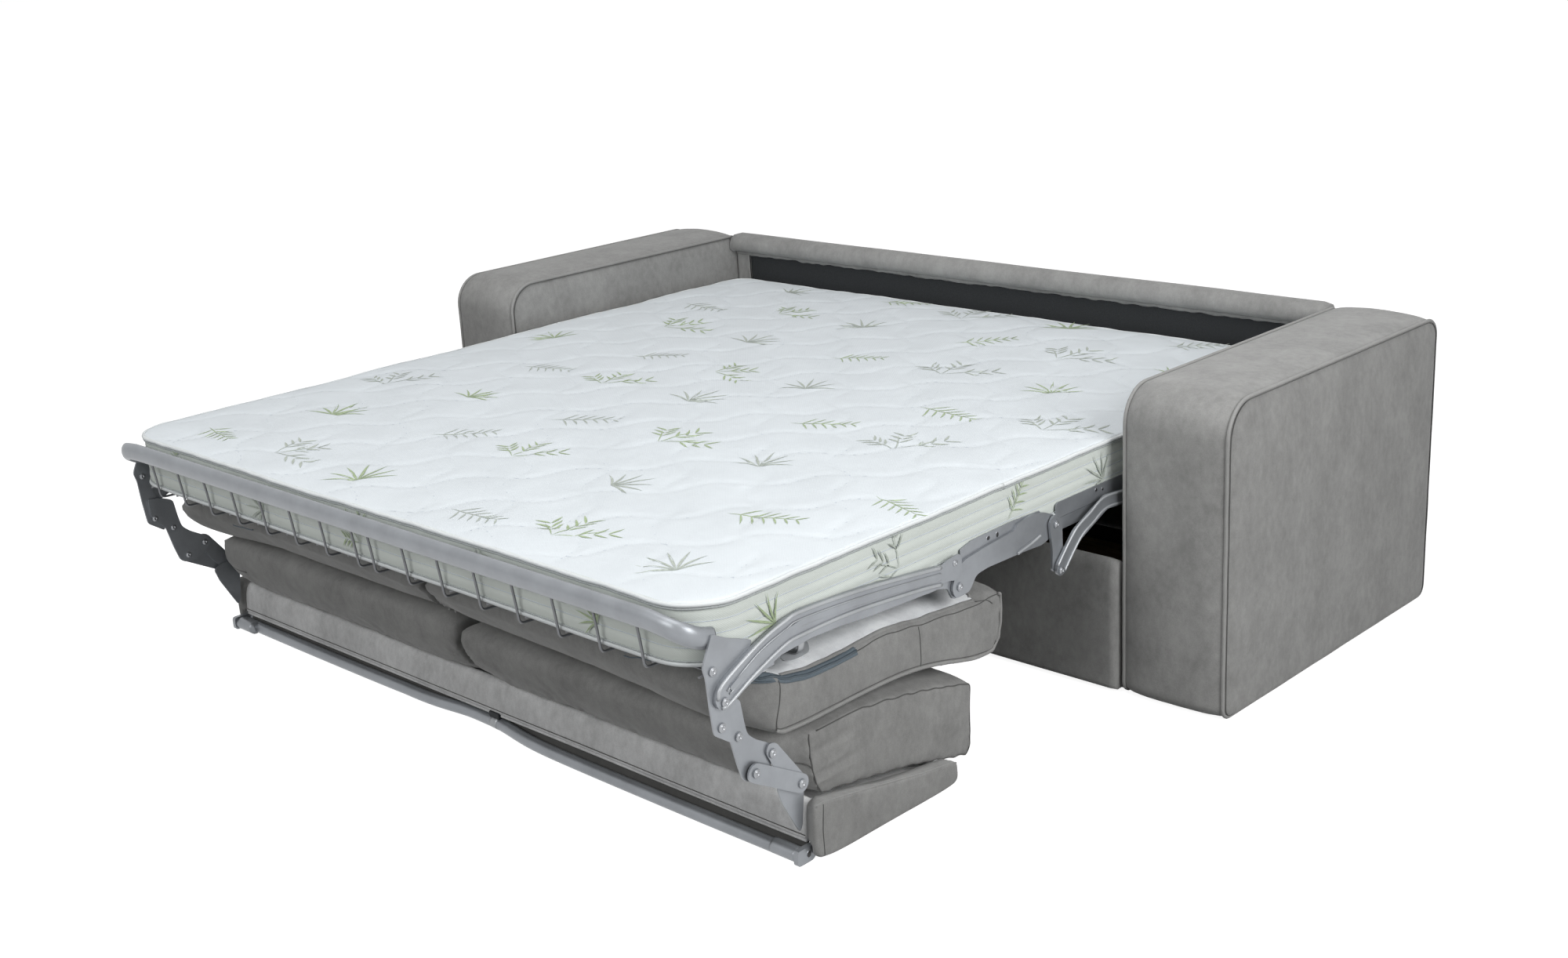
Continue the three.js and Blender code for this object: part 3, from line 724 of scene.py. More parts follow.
def edge_lines(name, y0, y1, place, radius, material):
    """Tubes along a mattress length's edges and any end that it has, at the points that place gives."""
    sides = {sign: [place(sign * plan_half(y), y, *edge_normal(y, sign)) for y in mattress_rows(y0, y1)]
             for sign in (1, -1)}
    end, outward = (y0, -1) if y0 == MATTRESS_FRONT else (y1, 1)
    half = plan_half(end)
    across = [place(x, end, 0, outward) for x in np.linspace(-half, half, 180)[1:-1]]
    if y0 == MATTRESS_FRONT:
        runs = [sides[-1][::-1] + across + sides[1]]
    elif y1 == MATTRESS_REAR:
        runs = [sides[-1] + across + sides[1][::-1]]
    else:
        runs = [sides[-1], sides[1]]
    return [tube(f"{name}_{i}", resample(run, 0.009), radius, material, 8) for i, run in enumerate(runs)]


def top_edge(outward, drop):
    """Place function of a line near the top edge, for edge_lines."""
    def place(x, y, out_x, out_y):
        wave = 0.0016 * wave_noise(x, y, 0, 21, 5)
        return x + out_x * outward, y + out_y * outward, top_height(x, y) - drop + wave
    return place


def low_edge(outward, rise):
    """Place function of a line near the lower edge, for edge_lines."""
    def place(x, y, out_x, out_y):
        return x + out_x * outward, y + out_y * outward, MATTRESS_BOTTOM + rise + 0.5 * edge_rise(x + 5, y)
    return place


def border_stitch(share):
    return lambda x, y, out_x, out_y: border_point(x, y, out_x, out_y, share)


# Lines along the edges: name, place function, radius and material.
EDGE_LINES = [("top_piping", top_edge(0.0028, 0.0032), 0.0042, TICKING_EDGE),
              # The two grooves are grey tubes of painted shade beside the top and low pipings.
              ("top_groove_shade", top_edge(0.0035, 0.0092), 0.002, GROOVE_SHADE),
              ("low_piping", low_edge(0.002, 0.0055), 0.0038, TICKING_EDGE),
              ("low_groove_shade", low_edge(0.0022, 0.0112), 0.0012, GROOVE_SHADE)]
for k, share in enumerate((0.28, 0.5, 0.72)):
    EDGE_LINES.append((f"border_stitch_{k}", border_stitch(share), 0.0007, THREAD))

# Three lengths, each lying over one joint.
LENGTHS = [
    ("mattress_foot_length", MATTRESS_FRONT, SEAM_FRONT, "foot_frame", "fold_link", -0.66, -0.32,
     ("mattress_foot", "mattress_fold")),
    ("mattress_middle_length", SEAM_FRONT, SEAM_REAR, "fold_link", "middle_frame", -0.32, 0.06, ("mattress_middle",)),
    ("mattress_head_length", SEAM_REAR, MATTRESS_REAR, "middle_frame", "head_section", 0.38, 0.70, ("mattress_head",)),
]


def quilt_line(number, sign):
    """Points every few millimetres along one wavy quilting line."""
    points = []
    for y in np.arange(MATTRESS_FRONT, MATTRESS_REAR, 0.0045):
        x = straight = number * QUILT_PITCH - sign * QUILT_SLANT * y
        for _ in range(8):
            x = straight - quilt_wander(x, y, sign)
        points.append((x, y))
    return np.array(points)


def build_stitches(name, y0, y1):
    """Running stitches along the quilting lines, as short pale dashes sunk in the grooves."""
    vertices, faces = [], []
    for sign in (1, -1):
        for number in range(-9, 10):
            line = quilt_line(number, sign)
            for a, b in zip(line[0:-1:3], line[1::3]):
                if not y0 + 0.004 < a[1] < y1 - 0.004 or abs(a[0]) > plan_half(a[1]) - 0.02:
                    continue
                if wave_noise(a[0], a[1], 0, 6, 40) < -0.15:
                    continue
                along = (b - a) / np.linalg.norm(b - a)
                across = np.array([-along[1], along[0]]) * 0.0006
                start = len(vertices)
                for x, y in (a - across, b - across, b + across, a + across):
                    vertices.append((x, y, top_height(x, y) + 0.0005))
                faces.append(tuple(range(start, start + 4)))
    return make_mesh(name, vertices, faces, THREAD, smooth=False)


def leaf_outline(length, width, bend, count=7):
    """Outline of a pointed leaf that starts at the origin along +X."""
    t = np.linspace(0, 1, count)
    upper = width * np.sin(math.pi * t ** 0.8) * 0.5
    curve = bend * t * t * length
    top = np.column_stack([t * length, curve + upper])
    low = np.column_stack([t[1:-1] * length, curve[1:-1] - upper[1:-1] * 0.8])[::-1]
    return np.concatenate([top, low])


def turned(points, angle, dx=0.0, dy=0.0):
    c, s = math.cos(angle), math.sin(angle)
    return points @ np.array([[c, s], [-s, c]]) + np.array([dx, dy])


def fern():
    leaves = [leaf_outline(0.1, 0.0022, 0.1, 9)]
    for i in range(6):
        at = 0.02 + 0.014 * i
        for sign in (1, -1):
            leaf = leaf_outline(0.032 - 0.0028 * i, 0.003, 0.12 * sign)
            leaves.append(turned(leaf, sign * (0.95 - 0.05 * i), at, at * at))
    return leaves


def tuft():
    return [turned(leaf_outline(0.066 - 0.006 * abs(i), 0.0042, 0.3 * i / 3), math.pi / 2 + i * 0.36)
            for i in range(-3, 4)]


def twig():
    leaves = []
    for angle, size in ((0.3, 0.075), (1.25, 0.06), (2.1, 0.05)):
        leaves.append(turned(leaf_outline(size, 0.002, 0.16, 9), angle))
        for share in (0.45, 0.7, 0.95):
            dx, dy = share * size * math.cos(angle), share * size * math.sin(angle)
            for sign in (1, -1):
                leaves.append(turned(leaf_outline(0.026, 0.0042, 0.14), angle + sign * 0.75, dx, dy))
    return leaves


def sprig(kind, rng):
    """A generic sprig as a list of leaf outlines: 0 a fern stem, 1 a low tuft, 2 a forked twig."""
    leaves = (fern, tuft, twig)[kind]()
    jitter = rng.uniform(-0.35, 0.35)
    size = rng.uniform(1.3, 1.6)
    return [turned(leaf * size, jitter) for leaf in leaves]


def print_layout():
    """Places of the printed sprigs on the top: a half-drop grid with a little wander."""
    rng = np.random.default_rng(12)
    places = []
    for row in range(8):
        for column in range(6):
            x = -0.75 + column * 0.3 + (0.15 if row % 2 else 0) + rng.uniform(-0.015, 0.015)
            y = -1.0 + row * 0.245 + rng.uniform(-0.02, 0.02)
            if abs(x) < 0.83:
                places.append((x, y, (row + 2 * column) % 3, rng.uniform(-0.5, 0.9)))
    return places, rng


def build_print(name, y0, y1, materials):
    """The printed sprigs on a length's top, along its sides and, on the foot length, across its end."""
    places, rng = print_layout()
    vertices, faces, indices = [], [], []

    def add(points, shade):
        faces.append(tuple(range(len(vertices), len(vertices) + len(points))))
        vertices.extend(points)
        indices.append(shade)

    def on_border(leaf, turn, along):
        """A leaf in a border's plane, kept between the pipings."""
        flat = turned(leaf * 0.72, turn, along, 0.452)
        flat[:, 1] = np.clip(flat[:, 1], MATTRESS_BOTTOM + 0.012, MATTRESS_TOP - 0.016)
        return flat

    for number, (x0, y_mid, kind, turn) in enumerate(places):
        leaves = sprig(kind, rng)
        if y0 + 0.001 <= y_mid < y1:
            for leaf in leaves:
                add([(x, y, top_height(x, y) + 0.0007) for x, y in turned(leaf, turn, x0, y_mid)], number % 2)
    for sign in (-1, 1):
        for k, y in enumerate(np.arange(-0.93, 0.7, 0.31)):
            if y0 <= y < y1:
                for leaf in sprig((k + 1) % 3, rng):
                    flat = on_border(leaf, 1.2 + 0.4 * math.sin(k * 2.1), y)
                    add([(sign * (plan_half(along) + PRINT_LIFT), along, z) for along, z in flat], k % 2)
    if y0 == MATTRESS_FRONT:
        for k, x in enumerate(np.arange(-0.7, 0.75, 0.34)):
            for leaf in sprig(k % 3, rng):
                add([(along, MATTRESS_FRONT - PRINT_LIFT, z) for along, z in on_border(leaf, 1.2, x)], k % 2)
    return make_mesh(name, vertices, faces, materials, smooth=False, indices=indices)


for name, y0, y1, first, second, start, end, nodes in LENGTHS:
    pieces = [build_mattress(name, y0, y1)]
    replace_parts(pieces[0], *nodes)
    for stem, place, radius, material in EDGE_LINES:
        pieces += edge_lines(f"{name}_{stem}", y0, y1, place, radius, material)
    pieces.append(build_print(name + "_print", y0, y1, [SPRIG, SPRIG_PALE]))
    pieces.append(build_stitches(name + "_quilting", y0, y1))
    for piece in pieces:
        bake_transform(piece)


# ---- cushions


CUSHION_INNER, CUSHION_OUTER, CUSHION_END = 0.0045, 0.8895, 0.8915
VOXEL = 0.0088


def curve_at(curve, at):
    """Value at a place of a curve given as (place, value) points with rising places."""
    return np.interp(at, [p[0] for p in curve], [p[1] for p in curve])


def out_of(ring):
    """Unit directions out of a closed outline given clockwise or the other way."""
    along = np.roll(ring, -1, 0) - np.roll(ring, 1, 0)
    normal = unit(np.column_stack([along[:, 1], -along[:, 0]]), 1e-12)
    return -normal if ((ring - ring.mean(0)) * normal).sum() < 0 else normal


def roll_cushion(name, outline, side, swell, corner, keep, tuck):
    """A cushion whose cover wraps round a side outline, pinched at both end seams and swelling between them.

    swell is how far it swells to the front, rear, top and underside, corner the line of the outer front corner, keep
    the share of the front left there, and tuck how far the lower front is drawn out or in along x.
    """
    x0, x1 = sorted((side * CUSHION_INNER, side * CUSHION_OUTER))
    ring = even_points(spline(outline, 400, closed=True), 220)
    normal = out_of(ring)
    facings = (-normal[:, 0], normal[:, 0], normal[:, 1], -normal[:, 1])
    amount = sum(by * np.clip(facing, 0, 1) ** 2 for by, facing in zip(swell, facings))
    lower_front = np.clip(-0.66 * normal[:, 0] - 0.75 * normal[:, 1], 0, 1) ** 2
    centre = ring.mean(0)

    def end_face(x, out):
        """Rings from the middle of an end face to near its seam."""
        return [np.column_stack([np.full(len(ring), x + out * 0.0035 * (1 - share ** 3)),
                                 centre + (ring - centre) * share])
                for share in (0.03, 0.12, 0.25, 0.4, 0.55, 0.7, 0.82, 0.91, 0.965)]

    distance = np.concatenate([[0, 0.004, 0.01, 0.018, 0.028, 0.042, 0.06, 0.085, 0.12, 0.17],
                               np.linspace(0.23, 0.445, 5)])
    rings = end_face(x0, -1)
    for x in np.concatenate([x0 + distance, (x1 - distance)[::-1]]):
        gap = min(x - x0, x1 - x)
        full = 0.72 * (1 - math.exp(-gap / 0.026)) + 0.28 * (1 - (2 * (x - x0) / (x1 - x0) - 1) ** 2)
        out = (amount * full + lower_front * curve_at(tuck, x))[:, None]
        rings.append(np.column_stack([np.full(len(ring), x), ring + normal * out]))
    rings += end_face(x1, 1)[::-1]
    corner_line = [(z, y) for y, z in corner[::-1]]
    for points in rings:
        for point in points:
            limit = curve_at(corner_line, point[2])
            share = max(0.0, 1 - (CUSHION_OUTER - min(CUSHION_OUTER, side * point[0])) / 0.14)
            if point[1] < limit:
                point[1] = limit + (point[1] - limit) * (1 - (1 - keep) * share ** 2)
    return capped_loft(name, rings, UPHOLSTERY)


def apply_modifiers(obj):
    graph = bpy.context.evaluated_depsgraph_get()
    mesh = bpy.data.meshes.new_from_object(obj.evaluated_get(graph))
    obj.modifiers.clear()
    old = obj.data
    obj.data = mesh
    bpy.data.meshes.remove(old)


CLOTH = {"quality": 5, "mass": 0.3, "tension_stiffness": 15, "compression_stiffness": 5, "shear_stiffness": 5,
         "bending_stiffness": 0.5, "use_pressure": True, "uniform_pressure_force": 4.0}
CLOTH_FRAMES = 20
CLOTH_CAP = 0.005


def stuff(obj, shrink=0.0):
    """Remeshes a cushion and inflates it as cloth, then keeps each point within a few millimetres of where it was."""
    remesh = obj.modifiers.new("remesh", "REMESH")
    remesh.mode = "VOXEL"
    remesh.voxel_size = VOXEL
    remesh.use_smooth_shade = True
    apply_modifiers(obj)
    before = np.array([v.co for v in obj.data.vertices])
    cloth = obj.modifiers.new("cloth", "CLOTH")
    for key, value in CLOTH.items():
        setattr(cloth.settings, key, value)
    cloth.settings.shrink_min = shrink
    cloth.settings.effector_weights.gravity = 0
    cloth.collision_settings.use_collision = False
    cloth.collision_settings.use_self_collision = False
    cloth.point_cache.frame_start = 1
    cloth.point_cache.frame_end = CLOTH_FRAMES
    for step in range(1, CLOTH_FRAMES + 1):
        bpy.context.scene.frame_set(step)
    swollen = obj.evaluated_get(bpy.context.evaluated_depsgraph_get())
    after = np.array([v.co for v in swollen.to_mesh().vertices])
    swollen.to_mesh_clear()
    obj.modifiers.clear()
    bpy.context.scene.frame_set(1)
    move = after - before
    move *= np.minimum(1, CLOTH_CAP / np.maximum(np.linalg.norm(move, axis=1)[:, None], 1e-9))
    obj.data.vertices.foreach_set("co", (before + move).ravel())
    obj.data.update()


def surface_tree(obj):
    return BVHTree.FromObject(obj, bpy.context.evaluated_depsgraph_get())


def on_surface(tree, points, lift=0.0):
    """Moves points, given with the unshifted Y, to the nearest place on a surface."""
    result = []
    for p in shifted(points):
        place, normal, _, _ = tree.find_nearest(Vector(p))
        q = place + normal * lift
        result.append((q.x, q.y - SHIFT, q.z))
    return np.array(result)


# Outlines of the cushions in the side plane, and lines on their ends, as (y, z).
SEAT_TOP = [(-1.01, 0.350), (-0.96, 0.347), (-0.916, 0.340), (-0.85, 0.331), (-0.782, 0.328), (-0.731, 0.331),
            (-0.637, 0.334), (-0.537, 0.322), (-0.455, 0.315), (-0.386, 0.309), (-0.35, 0.315), (-0.305, 0.312)]
SEAT_EDGE = [(-1.004, 0.333), (-0.996, 0.345), (-0.980, 0.349), (-0.955, 0.347)] + SEAT_TOP[2:10] + [
    (-0.352, 0.313), (-0.322, 0.311), (-0.309, 0.297), (-0.312, 0.262), (-0.322, 0.22), (-0.338, 0.203), (-0.362, 0.2),
    (-0.421, 0.208), (-0.541, 0.235), (-0.63, 0.244), (-0.74, 0.245), (-0.82, 0.243), (-0.90, 0.246), (-0.938, 0.256),
    (-0.962, 0.270), (-0.982, 0.288), (-0.996, 0.306), (-1.003, 0.320)]
BACK_EDGE = [(-0.929, 0.210), (-0.919, 0.222), (-0.895, 0.225), (-0.85, 0.222), (-0.796, 0.221), (-0.735, 0.222),
             (-0.662, 0.214), (-0.555, 0.196), (-0.454, 0.172), (-0.414, 0.160), (-0.405, 0.145), (-0.407, 0.09),
             (-0.413, 0.034), (-0.422, 0.02), (-0.44, 0.018), (-0.489, 0.031), (-0.573, 0.052), (-0.671, 0.071),
             (-0.764, 0.088), (-0.825, 0.097), (-0.866, 0.113), (-0.893, 0.132), (-0.911, 0.155), (-0.923, 0.180)]
SEAT_CORNER = [(-0.914, 0.345), (-0.920, 0.3), (-0.938, 0.247)]
BACK_CORNER = [(-0.852, 0.221), (-0.855, 0.19), (-0.85, 0.15), (-0.842, 0.118), (-0.83, 0.095)]
SEAT_SEAM = -0.555
SEAT_PANEL_REAR = -0.385
# How far a seat's lower front is drawn in at x. What follows is given for the right side, and mirrored for the left:
# the front edge of the zip in plan, pleats (centre, reach, depth, count), and creases (both ends, width, depth).
SEAT_TUCK = [(-0.889, 0), (-0.755, -0.011), (-0.62, -0.019), (-0.1, -0.019), (0, -0.017), (0.336, -0.011),
             (0.467, -0.008), (0.592, -0.003), (0.671, 0.003), (0.763, 0.009), (0.889, 0.006)]
ZIP_FRONT = [(0.6, -0.985), (0.8, -0.965), (0.84, -0.945), (0.86, -0.934), (0.878, -0.920), (0.889, -0.904)]
SEAT_PLEATS = [(CUSHION_END, -0.33, 0.31, 0.07, 0.003, 13), (CUSHION_END, -0.33, 0.205, 0.05, 0.002, 11),
               (0.012, -1.0, 0.33, 0.06, 0.003, 12)]
SEAT_CREASES = [((CUSHION_END, -0.318, 0.3), (CUSHION_END, -0.37, 0.27), 0.006, 0.005),
                ((CUSHION_END, -0.33, 0.215), (CUSHION_END, -0.40, 0.235), 0.006, 0.004),
                ((0.02, -1.0, 0.33), (0.12, -1.012, 0.315), 0.006, 0.003),
                ((0.86, -1.0, 0.33), (0.76, -1.015, 0.31), 0.006, 0.003),
                ((0.4, -1.0, 0.285), (0.46, -1.015, 0.31), 0.007, 0.002)]
BACK_PLEATS = [(CUSHION_END, -0.83, 0.2, 0.07, 0.0018, 9), (CUSHION_END, -0.82, 0.125, 0.08, 0.002, 9),
               (CUSHION_END, -0.42, 0.04, 0.06, 0.002, 11), (CUSHION_END, -0.41, 0.16, 0.05, 0.0015, 9),
               (0.004, -0.9, 0.14, 0.08, 0.004, 15), (0.3, -0.9, 0.125, 0.09, 0.003, 13)]
BACK_CREASES = [((CUSHION_END, y0, z0), (CUSHION_END, y1, z1), width, depth) for y0, z0, y1, z1, width, depth in [
    (-0.843, 0.2, -0.775, 0.212, 0.006, 0.004), (-0.843, 0.182, -0.70, 0.198, 0.0075, 0.006),
    (-0.84, 0.156, -0.75, 0.166, 0.006, 0.004), (-0.835, 0.138, -0.72, 0.142, 0.007, 0.006),
    (-0.828, 0.115, -0.71, 0.112, 0.006, 0.005), (-0.47, 0.035, -0.52, 0.075, 0.005, 0.004),
    (-0.43, 0.03, -0.46, 0.085, 0.005, 0.004), (-0.63, 0.07, -0.64, 0.105, 0.005, 0.003),
    (-0.75, 0.214, -0.71, 0.19, 0.006, 0.004)]]
BACK_CREASES += [((0.87, -0.912, 0.19), (0.72, -0.925, 0.165), 0.008, 0.006),
                 ((0.3, -0.92, 0.21), (0.42, -0.93, 0.165), 0.009, 0.004),
                 ((0.55, -0.92, 0.125), (0.42, -0.93, 0.165), 0.009, 0.004),
                 ((0.004, -0.91, 0.14), (0.1, -0.925, 0.15), 0.007, 0.006),
                 ((0.004, -0.91, 0.185), (0.12, -0.925, 0.175), 0.008, 0.005)]
for at in (0.12, 0.19, 0.24, 0.33, 0.41, 0.48, 0.58, 0.66, 0.75, 0.82):
    BACK_CREASES.append(((at, -0.892, 0.12), (at + 0.02, -0.912, 0.145), 0.0055, 0.0035))


def crease_push(points, ends, width, depth):
    """How far a drag line between two ends pushes each point in, with a low ridge on either side."""
    a, b = shifted(ends)
    t = np.clip((points - a) @ (b - a) / ((b - a) @ (b - a)), 0, 1)
    gap = np.linalg.norm(points - a - t[:, None] * (b - a), axis=1)
    fade = 1 - 0.85 * t
    return depth * fade * (0.45 * np.exp(-(((gap - 1.9 * width) / width) ** 2)) - np.exp(-((gap / width) ** 2)))


def soften(obj, side, seed, strength, pleats, creases):
    """Pushes a cushion's skin in and out a little, with pleats that fan out from points and drag lines."""
    mesh = obj.data
    places = np.array([v.co for v in mesh.vertices])
    normals = np.array([v.normal for v in mesh.vertices])
    push = np.array([strength * (wave_noise(*p, 7, seed) + 0.5 * wave_noise(*p, 19, seed + 3)) - strength * 0.5
                     for p in places])
    for x, y, z, reach, depth, count in pleats:
        away = places - np.array([side * x, y + SHIFT, z])
        distance = np.linalg.norm(away, axis=1)
        turn = np.arctan2(away[:, 2], np.hypot(away[:, 0], away[:, 1]) + 1e-6)
        fade = np.exp(-((distance / reach) ** 2)) * np.clip(distance / 0.012, 0, 1)
        push -= depth * fade * (0.5 + 0.5 * np.cos(turn * count + 1.7 * np.sin(turn * 3 + side * x * 40)))
    for start, end, width, depth in creases:
        push += crease_push(places, mirrored(side, [start, end]), width, depth)
    mesh.vertices.foreach_set("co", (places + normals * push[:, None]).ravel())
    mesh.update()


def pale_panel(obj, material, rear):
    """Gives the faces of a cushion's upper panel between two seams a second material."""
    obj.data.materials.append(material)
    slot = len(obj.data.materials) - 1
    for polygon in obj.data.polygons:
        x, y, _ = polygon.center
        inside = curve_at(ZIP_FRONT, abs(x)) < y - SHIFT < rear and 0.012 < abs(x) < 0.874
        if inside and polygon.normal.z > 0.3:
            polygon.material_index = slot


def smoothed(values, passes):
    """Evens out a row of points or directions, with both ends kept."""
    for _ in range(passes):
        values[1:-1] = (values[:-2] + 2 * values[1:-1] + values[2:]) / 4
    return values


def line_on(name, skin, points, radius, material, lift=0.0, closed=False):
    """A thin tube along points on a surface. skin is the surface's tree, side, body and slot."""
    tree, side, body, slot = skin
    path = on_surface(tree, resample(mirrored(side, points), 0.006, closed), lift)
    path = smoothed(path, 0 if closed else 2)
    carried(tube(name, path, radius, material, 8, closed=closed), body, slot)


def tape_on(name, skin, points, half, material):
    """A flat tape laid just over points on a surface, as wide as the surface allows."""
    tree, side, body, slot = skin
    path = smoothed(on_surface(tree, resample(mirrored(side, points), 0.005)), 6)
    normals = smoothed(np.array([tree.find_nearest(Vector(p))[1] for p in shifted(path)]), 30)
    across = np.cross(np.gradient(path, axis=0), normals)
    across *= half / np.linalg.norm(across, axis=1)[:, None]
    rows = [smoothed(on_surface(tree, path + across * share, 0.0008), 3) for share in (-1, -0.5, 0, 0.5, 1)]
    strip = carried(cloth_grid(name, np.concatenate(rows), len(rows), material, 0.0012), body, slot)
    strip.modifiers["thickness"].offset = 0


def end_seam(name, skin, edge, x, keep, radius, material, lift=0.0):
    """A seam or piping along the part of an end outline that keep allows."""
    count = 400
    ring = even_points(spline(edge, count, closed=True), count)
    allowed = [bool(keep(*point)) for point in ring]
    start = next((i for i in range(count) if allowed[i] and not allowed[i - 1]), 0)
    run = []
    for i in range(count):
        if not allowed[(start + i) % count]:
            break
        run.append((x, *ring[(start + i) % count]))
    line_on(name, skin, run, radius, material, lift, closed=len(run) == count)


def build_seat(word, side):
    """A seat cushion, upside down as the photo shows it: welts at the ends, a pale panel and a zip on top."""
    stem = f"seat_{word}"
    seat = roll_cushion(f"seat_cushion_cover_{word}", SEAT_EDGE, side, (0.006, 0.004, 0.019, 0.001), SEAT_CORNER,
                        0.12 if side > 0 else 1.1, SEAT_TUCK)
    stuff(seat)
    soften(seat, side, 4 + side, 0.0015, SEAT_PLEATS, SEAT_CREASES)
    pale_panel(seat, UNDERSIDE, SEAT_PANEL_REAR)
    carried(seat, "foot_frame", "seat_cover")
    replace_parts(seat, f"seat_cushion_{word}")

    def near_top(y, z):
        return z >= curve_at(SEAT_TOP, y) - 0.02

    def welted(y, z):
        return y > -0.935 and (not near_top(y, z) or y > -0.33)

    skin = (surface_tree(seat), side, "foot_frame", "seat_cover")
    inner = 0.003
    for tag, x in (("outer", CUSHION_END), ("inner", inner)):
        end_seam(f"{stem}_welt_{tag}", skin, SEAT_EDGE, x, welted, 0.0034, PIPING_LIT, 0.0012)
        end_seam(f"{stem}_welt_crease_{tag}", skin, [(y, z + 0.006) for y, z in SEAT_EDGE], x,
                 lambda y, z: z < 0.28 and y > -0.935, 0.001, SEAM_SHADE_LINE)
        end_seam(f"{stem}_top_seam_{tag}", skin, SEAT_EDGE, x,
                 lambda y, z: near_top(y, z) and -0.905 < y < -0.32, 0.0011, SEAM_SHADE_LINE)
    rear_line = [(inner, SEAT_PANEL_REAR, 0.36), (0.883, SEAT_PANEL_REAR, 0.36)]
    line_on(f"{stem}_panel_seam", skin, rear_line, 0.003, UPHOLSTERY)
    side_line = [(0.8812, y, curve_at(SEAT_TOP, y) + 0.02) for y in np.linspace(-0.90, SEAT_PANEL_REAR, 40)]
    line_on(f"{stem}_panel_edge", skin, side_line, 0.0044, UPHOLSTERY, -0.0014)
    dart = [(0.885, SEAT_PANEL_REAR, 0.325), (0.889, -0.36, 0.312), (0.892, -0.345, 0.296)]
    line_on(f"{stem}_corner_dart", skin, dart, 0.0011, SEAM_SHADE_LINE)
    zipped = [(0.889, -0.722, 0.334), (0.889, -0.78, 0.329), (0.889, -0.836, 0.331), (0.8885, -0.878, 0.337)]
    zipped = spline(zipped + [(x, y, 0.346) for x, y in ZIP_FRONT[::-1]], 120)
    tape_on(f"{stem}_zip_tape", skin, zipped, 0.0088, ZIP)
    line_on(f"{stem}_zip_coil", skin, zipped, 0.0021, ZIP_TEETH, 0.0014)
    for rise, tag in ((-0.0068, "low"), (0.0068, "high")):
        line_on(f"{stem}_zip_{tag}_stitch", skin, zipped + np.array([0, 0, rise]), 0.0011, ZIP, 0.0012)
    y = SEAT_SEAM
    for number, seam in enumerate((SEAT_CORNER, [(y, curve_at(SEAT_TOP, y) - 0.004), (y, 0.24)])):
        line_on(f"{stem}_side_seam_{number}", skin, [(CUSHION_END, *point) for point in seam], 0.0011, SEAM_SHADE_LINE)


def build_back_pad(word, side):
    """A back cushion under the seat's, with pulled folds at its outer end and tucks along its lower front."""
    stem = f"back_{word}"
    edge = [(y, z + (0.009 if side < 0 and z > 0.2 and y < -0.6 else 0)) for y, z in BACK_EDGE]
    pad = roll_cushion(f"back_cushion_cover_{word}", edge, side, (0.01, 0.003, 0.009, 0.001), BACK_CORNER,
                       0.08 if side > 0 else 1.0, [(-1, 0), (1, 0)])
    stuff(pad, shrink=-0.01)
    soften(pad, side, 11 + side, 0.0022, BACK_PLEATS, BACK_CREASES)
    carried(pad, "back_frame", "upholstery")
    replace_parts(pad, f"back_cushion_{word}")
    skin = (surface_tree(pad), side, "back_frame", "upholstery")
    end_seam(f"{stem}_end_seam_outer", skin, BACK_EDGE, CUSHION_END, lambda y, z: y > -0.835, 0.0013, SEAM_SHADE_LINE)
    end_seam(f"{stem}_end_seam_inner", skin, BACK_EDGE, 0.004, lambda y, z: y > -0.86, 0.0013, SEAM_SHADE_LINE)
    line_on(f"{stem}_corner_seam", skin, [(CUSHION_END, *point) for point in BACK_CORNER], 0.0013, SEAM_SHADE_LINE)
    across = [(CUSHION_END, -0.852, 0.156), (CUSHION_END, -0.885, 0.16), (0.885, -0.91, 0.163), (0.8, -0.928, 0.165)]
    line_on(f"{stem}_front_seam", skin, across, 0.0012, SEAM_SHADE_LINE)


# The floor tube's right half in plan, as (x, y).
LEG_HALF = [(0, -0.876), (0.06, -0.879), (0.17, -0.895), (0.3, -0.900), (0.6, -0.901), (0.8955, -0.899)]


def band_profile(x):
    """Front and underside of the back panel at x: the pale lining over the frame's edge."""
    sag = 0.0024 * wave_noise(x, 0, 0, 5, 31)
    sag = sag + 0.0016 * wave_noise(x, 1, 0, 15, 33) + 0.001 * wave_noise(x, 2, 0, 34, 35)
    return [(-0.85, 0.098), (-0.862, 0.104), (-0.870, 0.100), (-0.8765 - sag, 0.088), (-0.880 - sag, 0.070),
            (-0.8815 - sag, 0.050), (-0.8815, 0.037 + sag), (-0.8765, 0.0300 + sag * 0.4), (-0.86, 0.0305),
            (-0.76, 0.014), (-0.64, 0.007), (-0.52, 0.008), (-0.487, 0.012), (-0.486, 0.018), (-0.505, 0.023),
            (-0.573, 0.037), (-0.671, 0.056), (-0.764, 0.073), (-0.825, 0.081)]


def build_panel():
    """The board that closes the back frame's underside, covered in pale lining and hemmed along its front."""
    xs = np.linspace(-0.8945, 0.8945, 150)
    rows = []
    for x in xs:
        ring = spline(band_profile(x), 110, closed=True)
        rows.append(np.column_stack([np.full(len(ring), x), ring]))
    panel = carried(capped_loft("back_panel_cover", rows, BAND), "back_frame", "upholstery")
    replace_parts(panel, "back_panel")
    for tag, y, z, radius, material in (("hem", -0.8815, 0.0405, 0.0018, BAND),
                                        ("hem_crease", -0.883, 0.0445, 0.0009, SEAM_SHADE_LINE),
                                        ("hem_welt", -0.879, 0.0325, 0.0026, BAND)):
        path = [(x, y - 0.0022 * wave_noise(x, 0, 0, 5, 31), z + 0.0022 * wave_noise(x, 0, 0, 5, 31)) for x in xs]
        carried(tube(f"back_panel_{tag}", path, radius, material, 8), "back_frame", "upholstery")


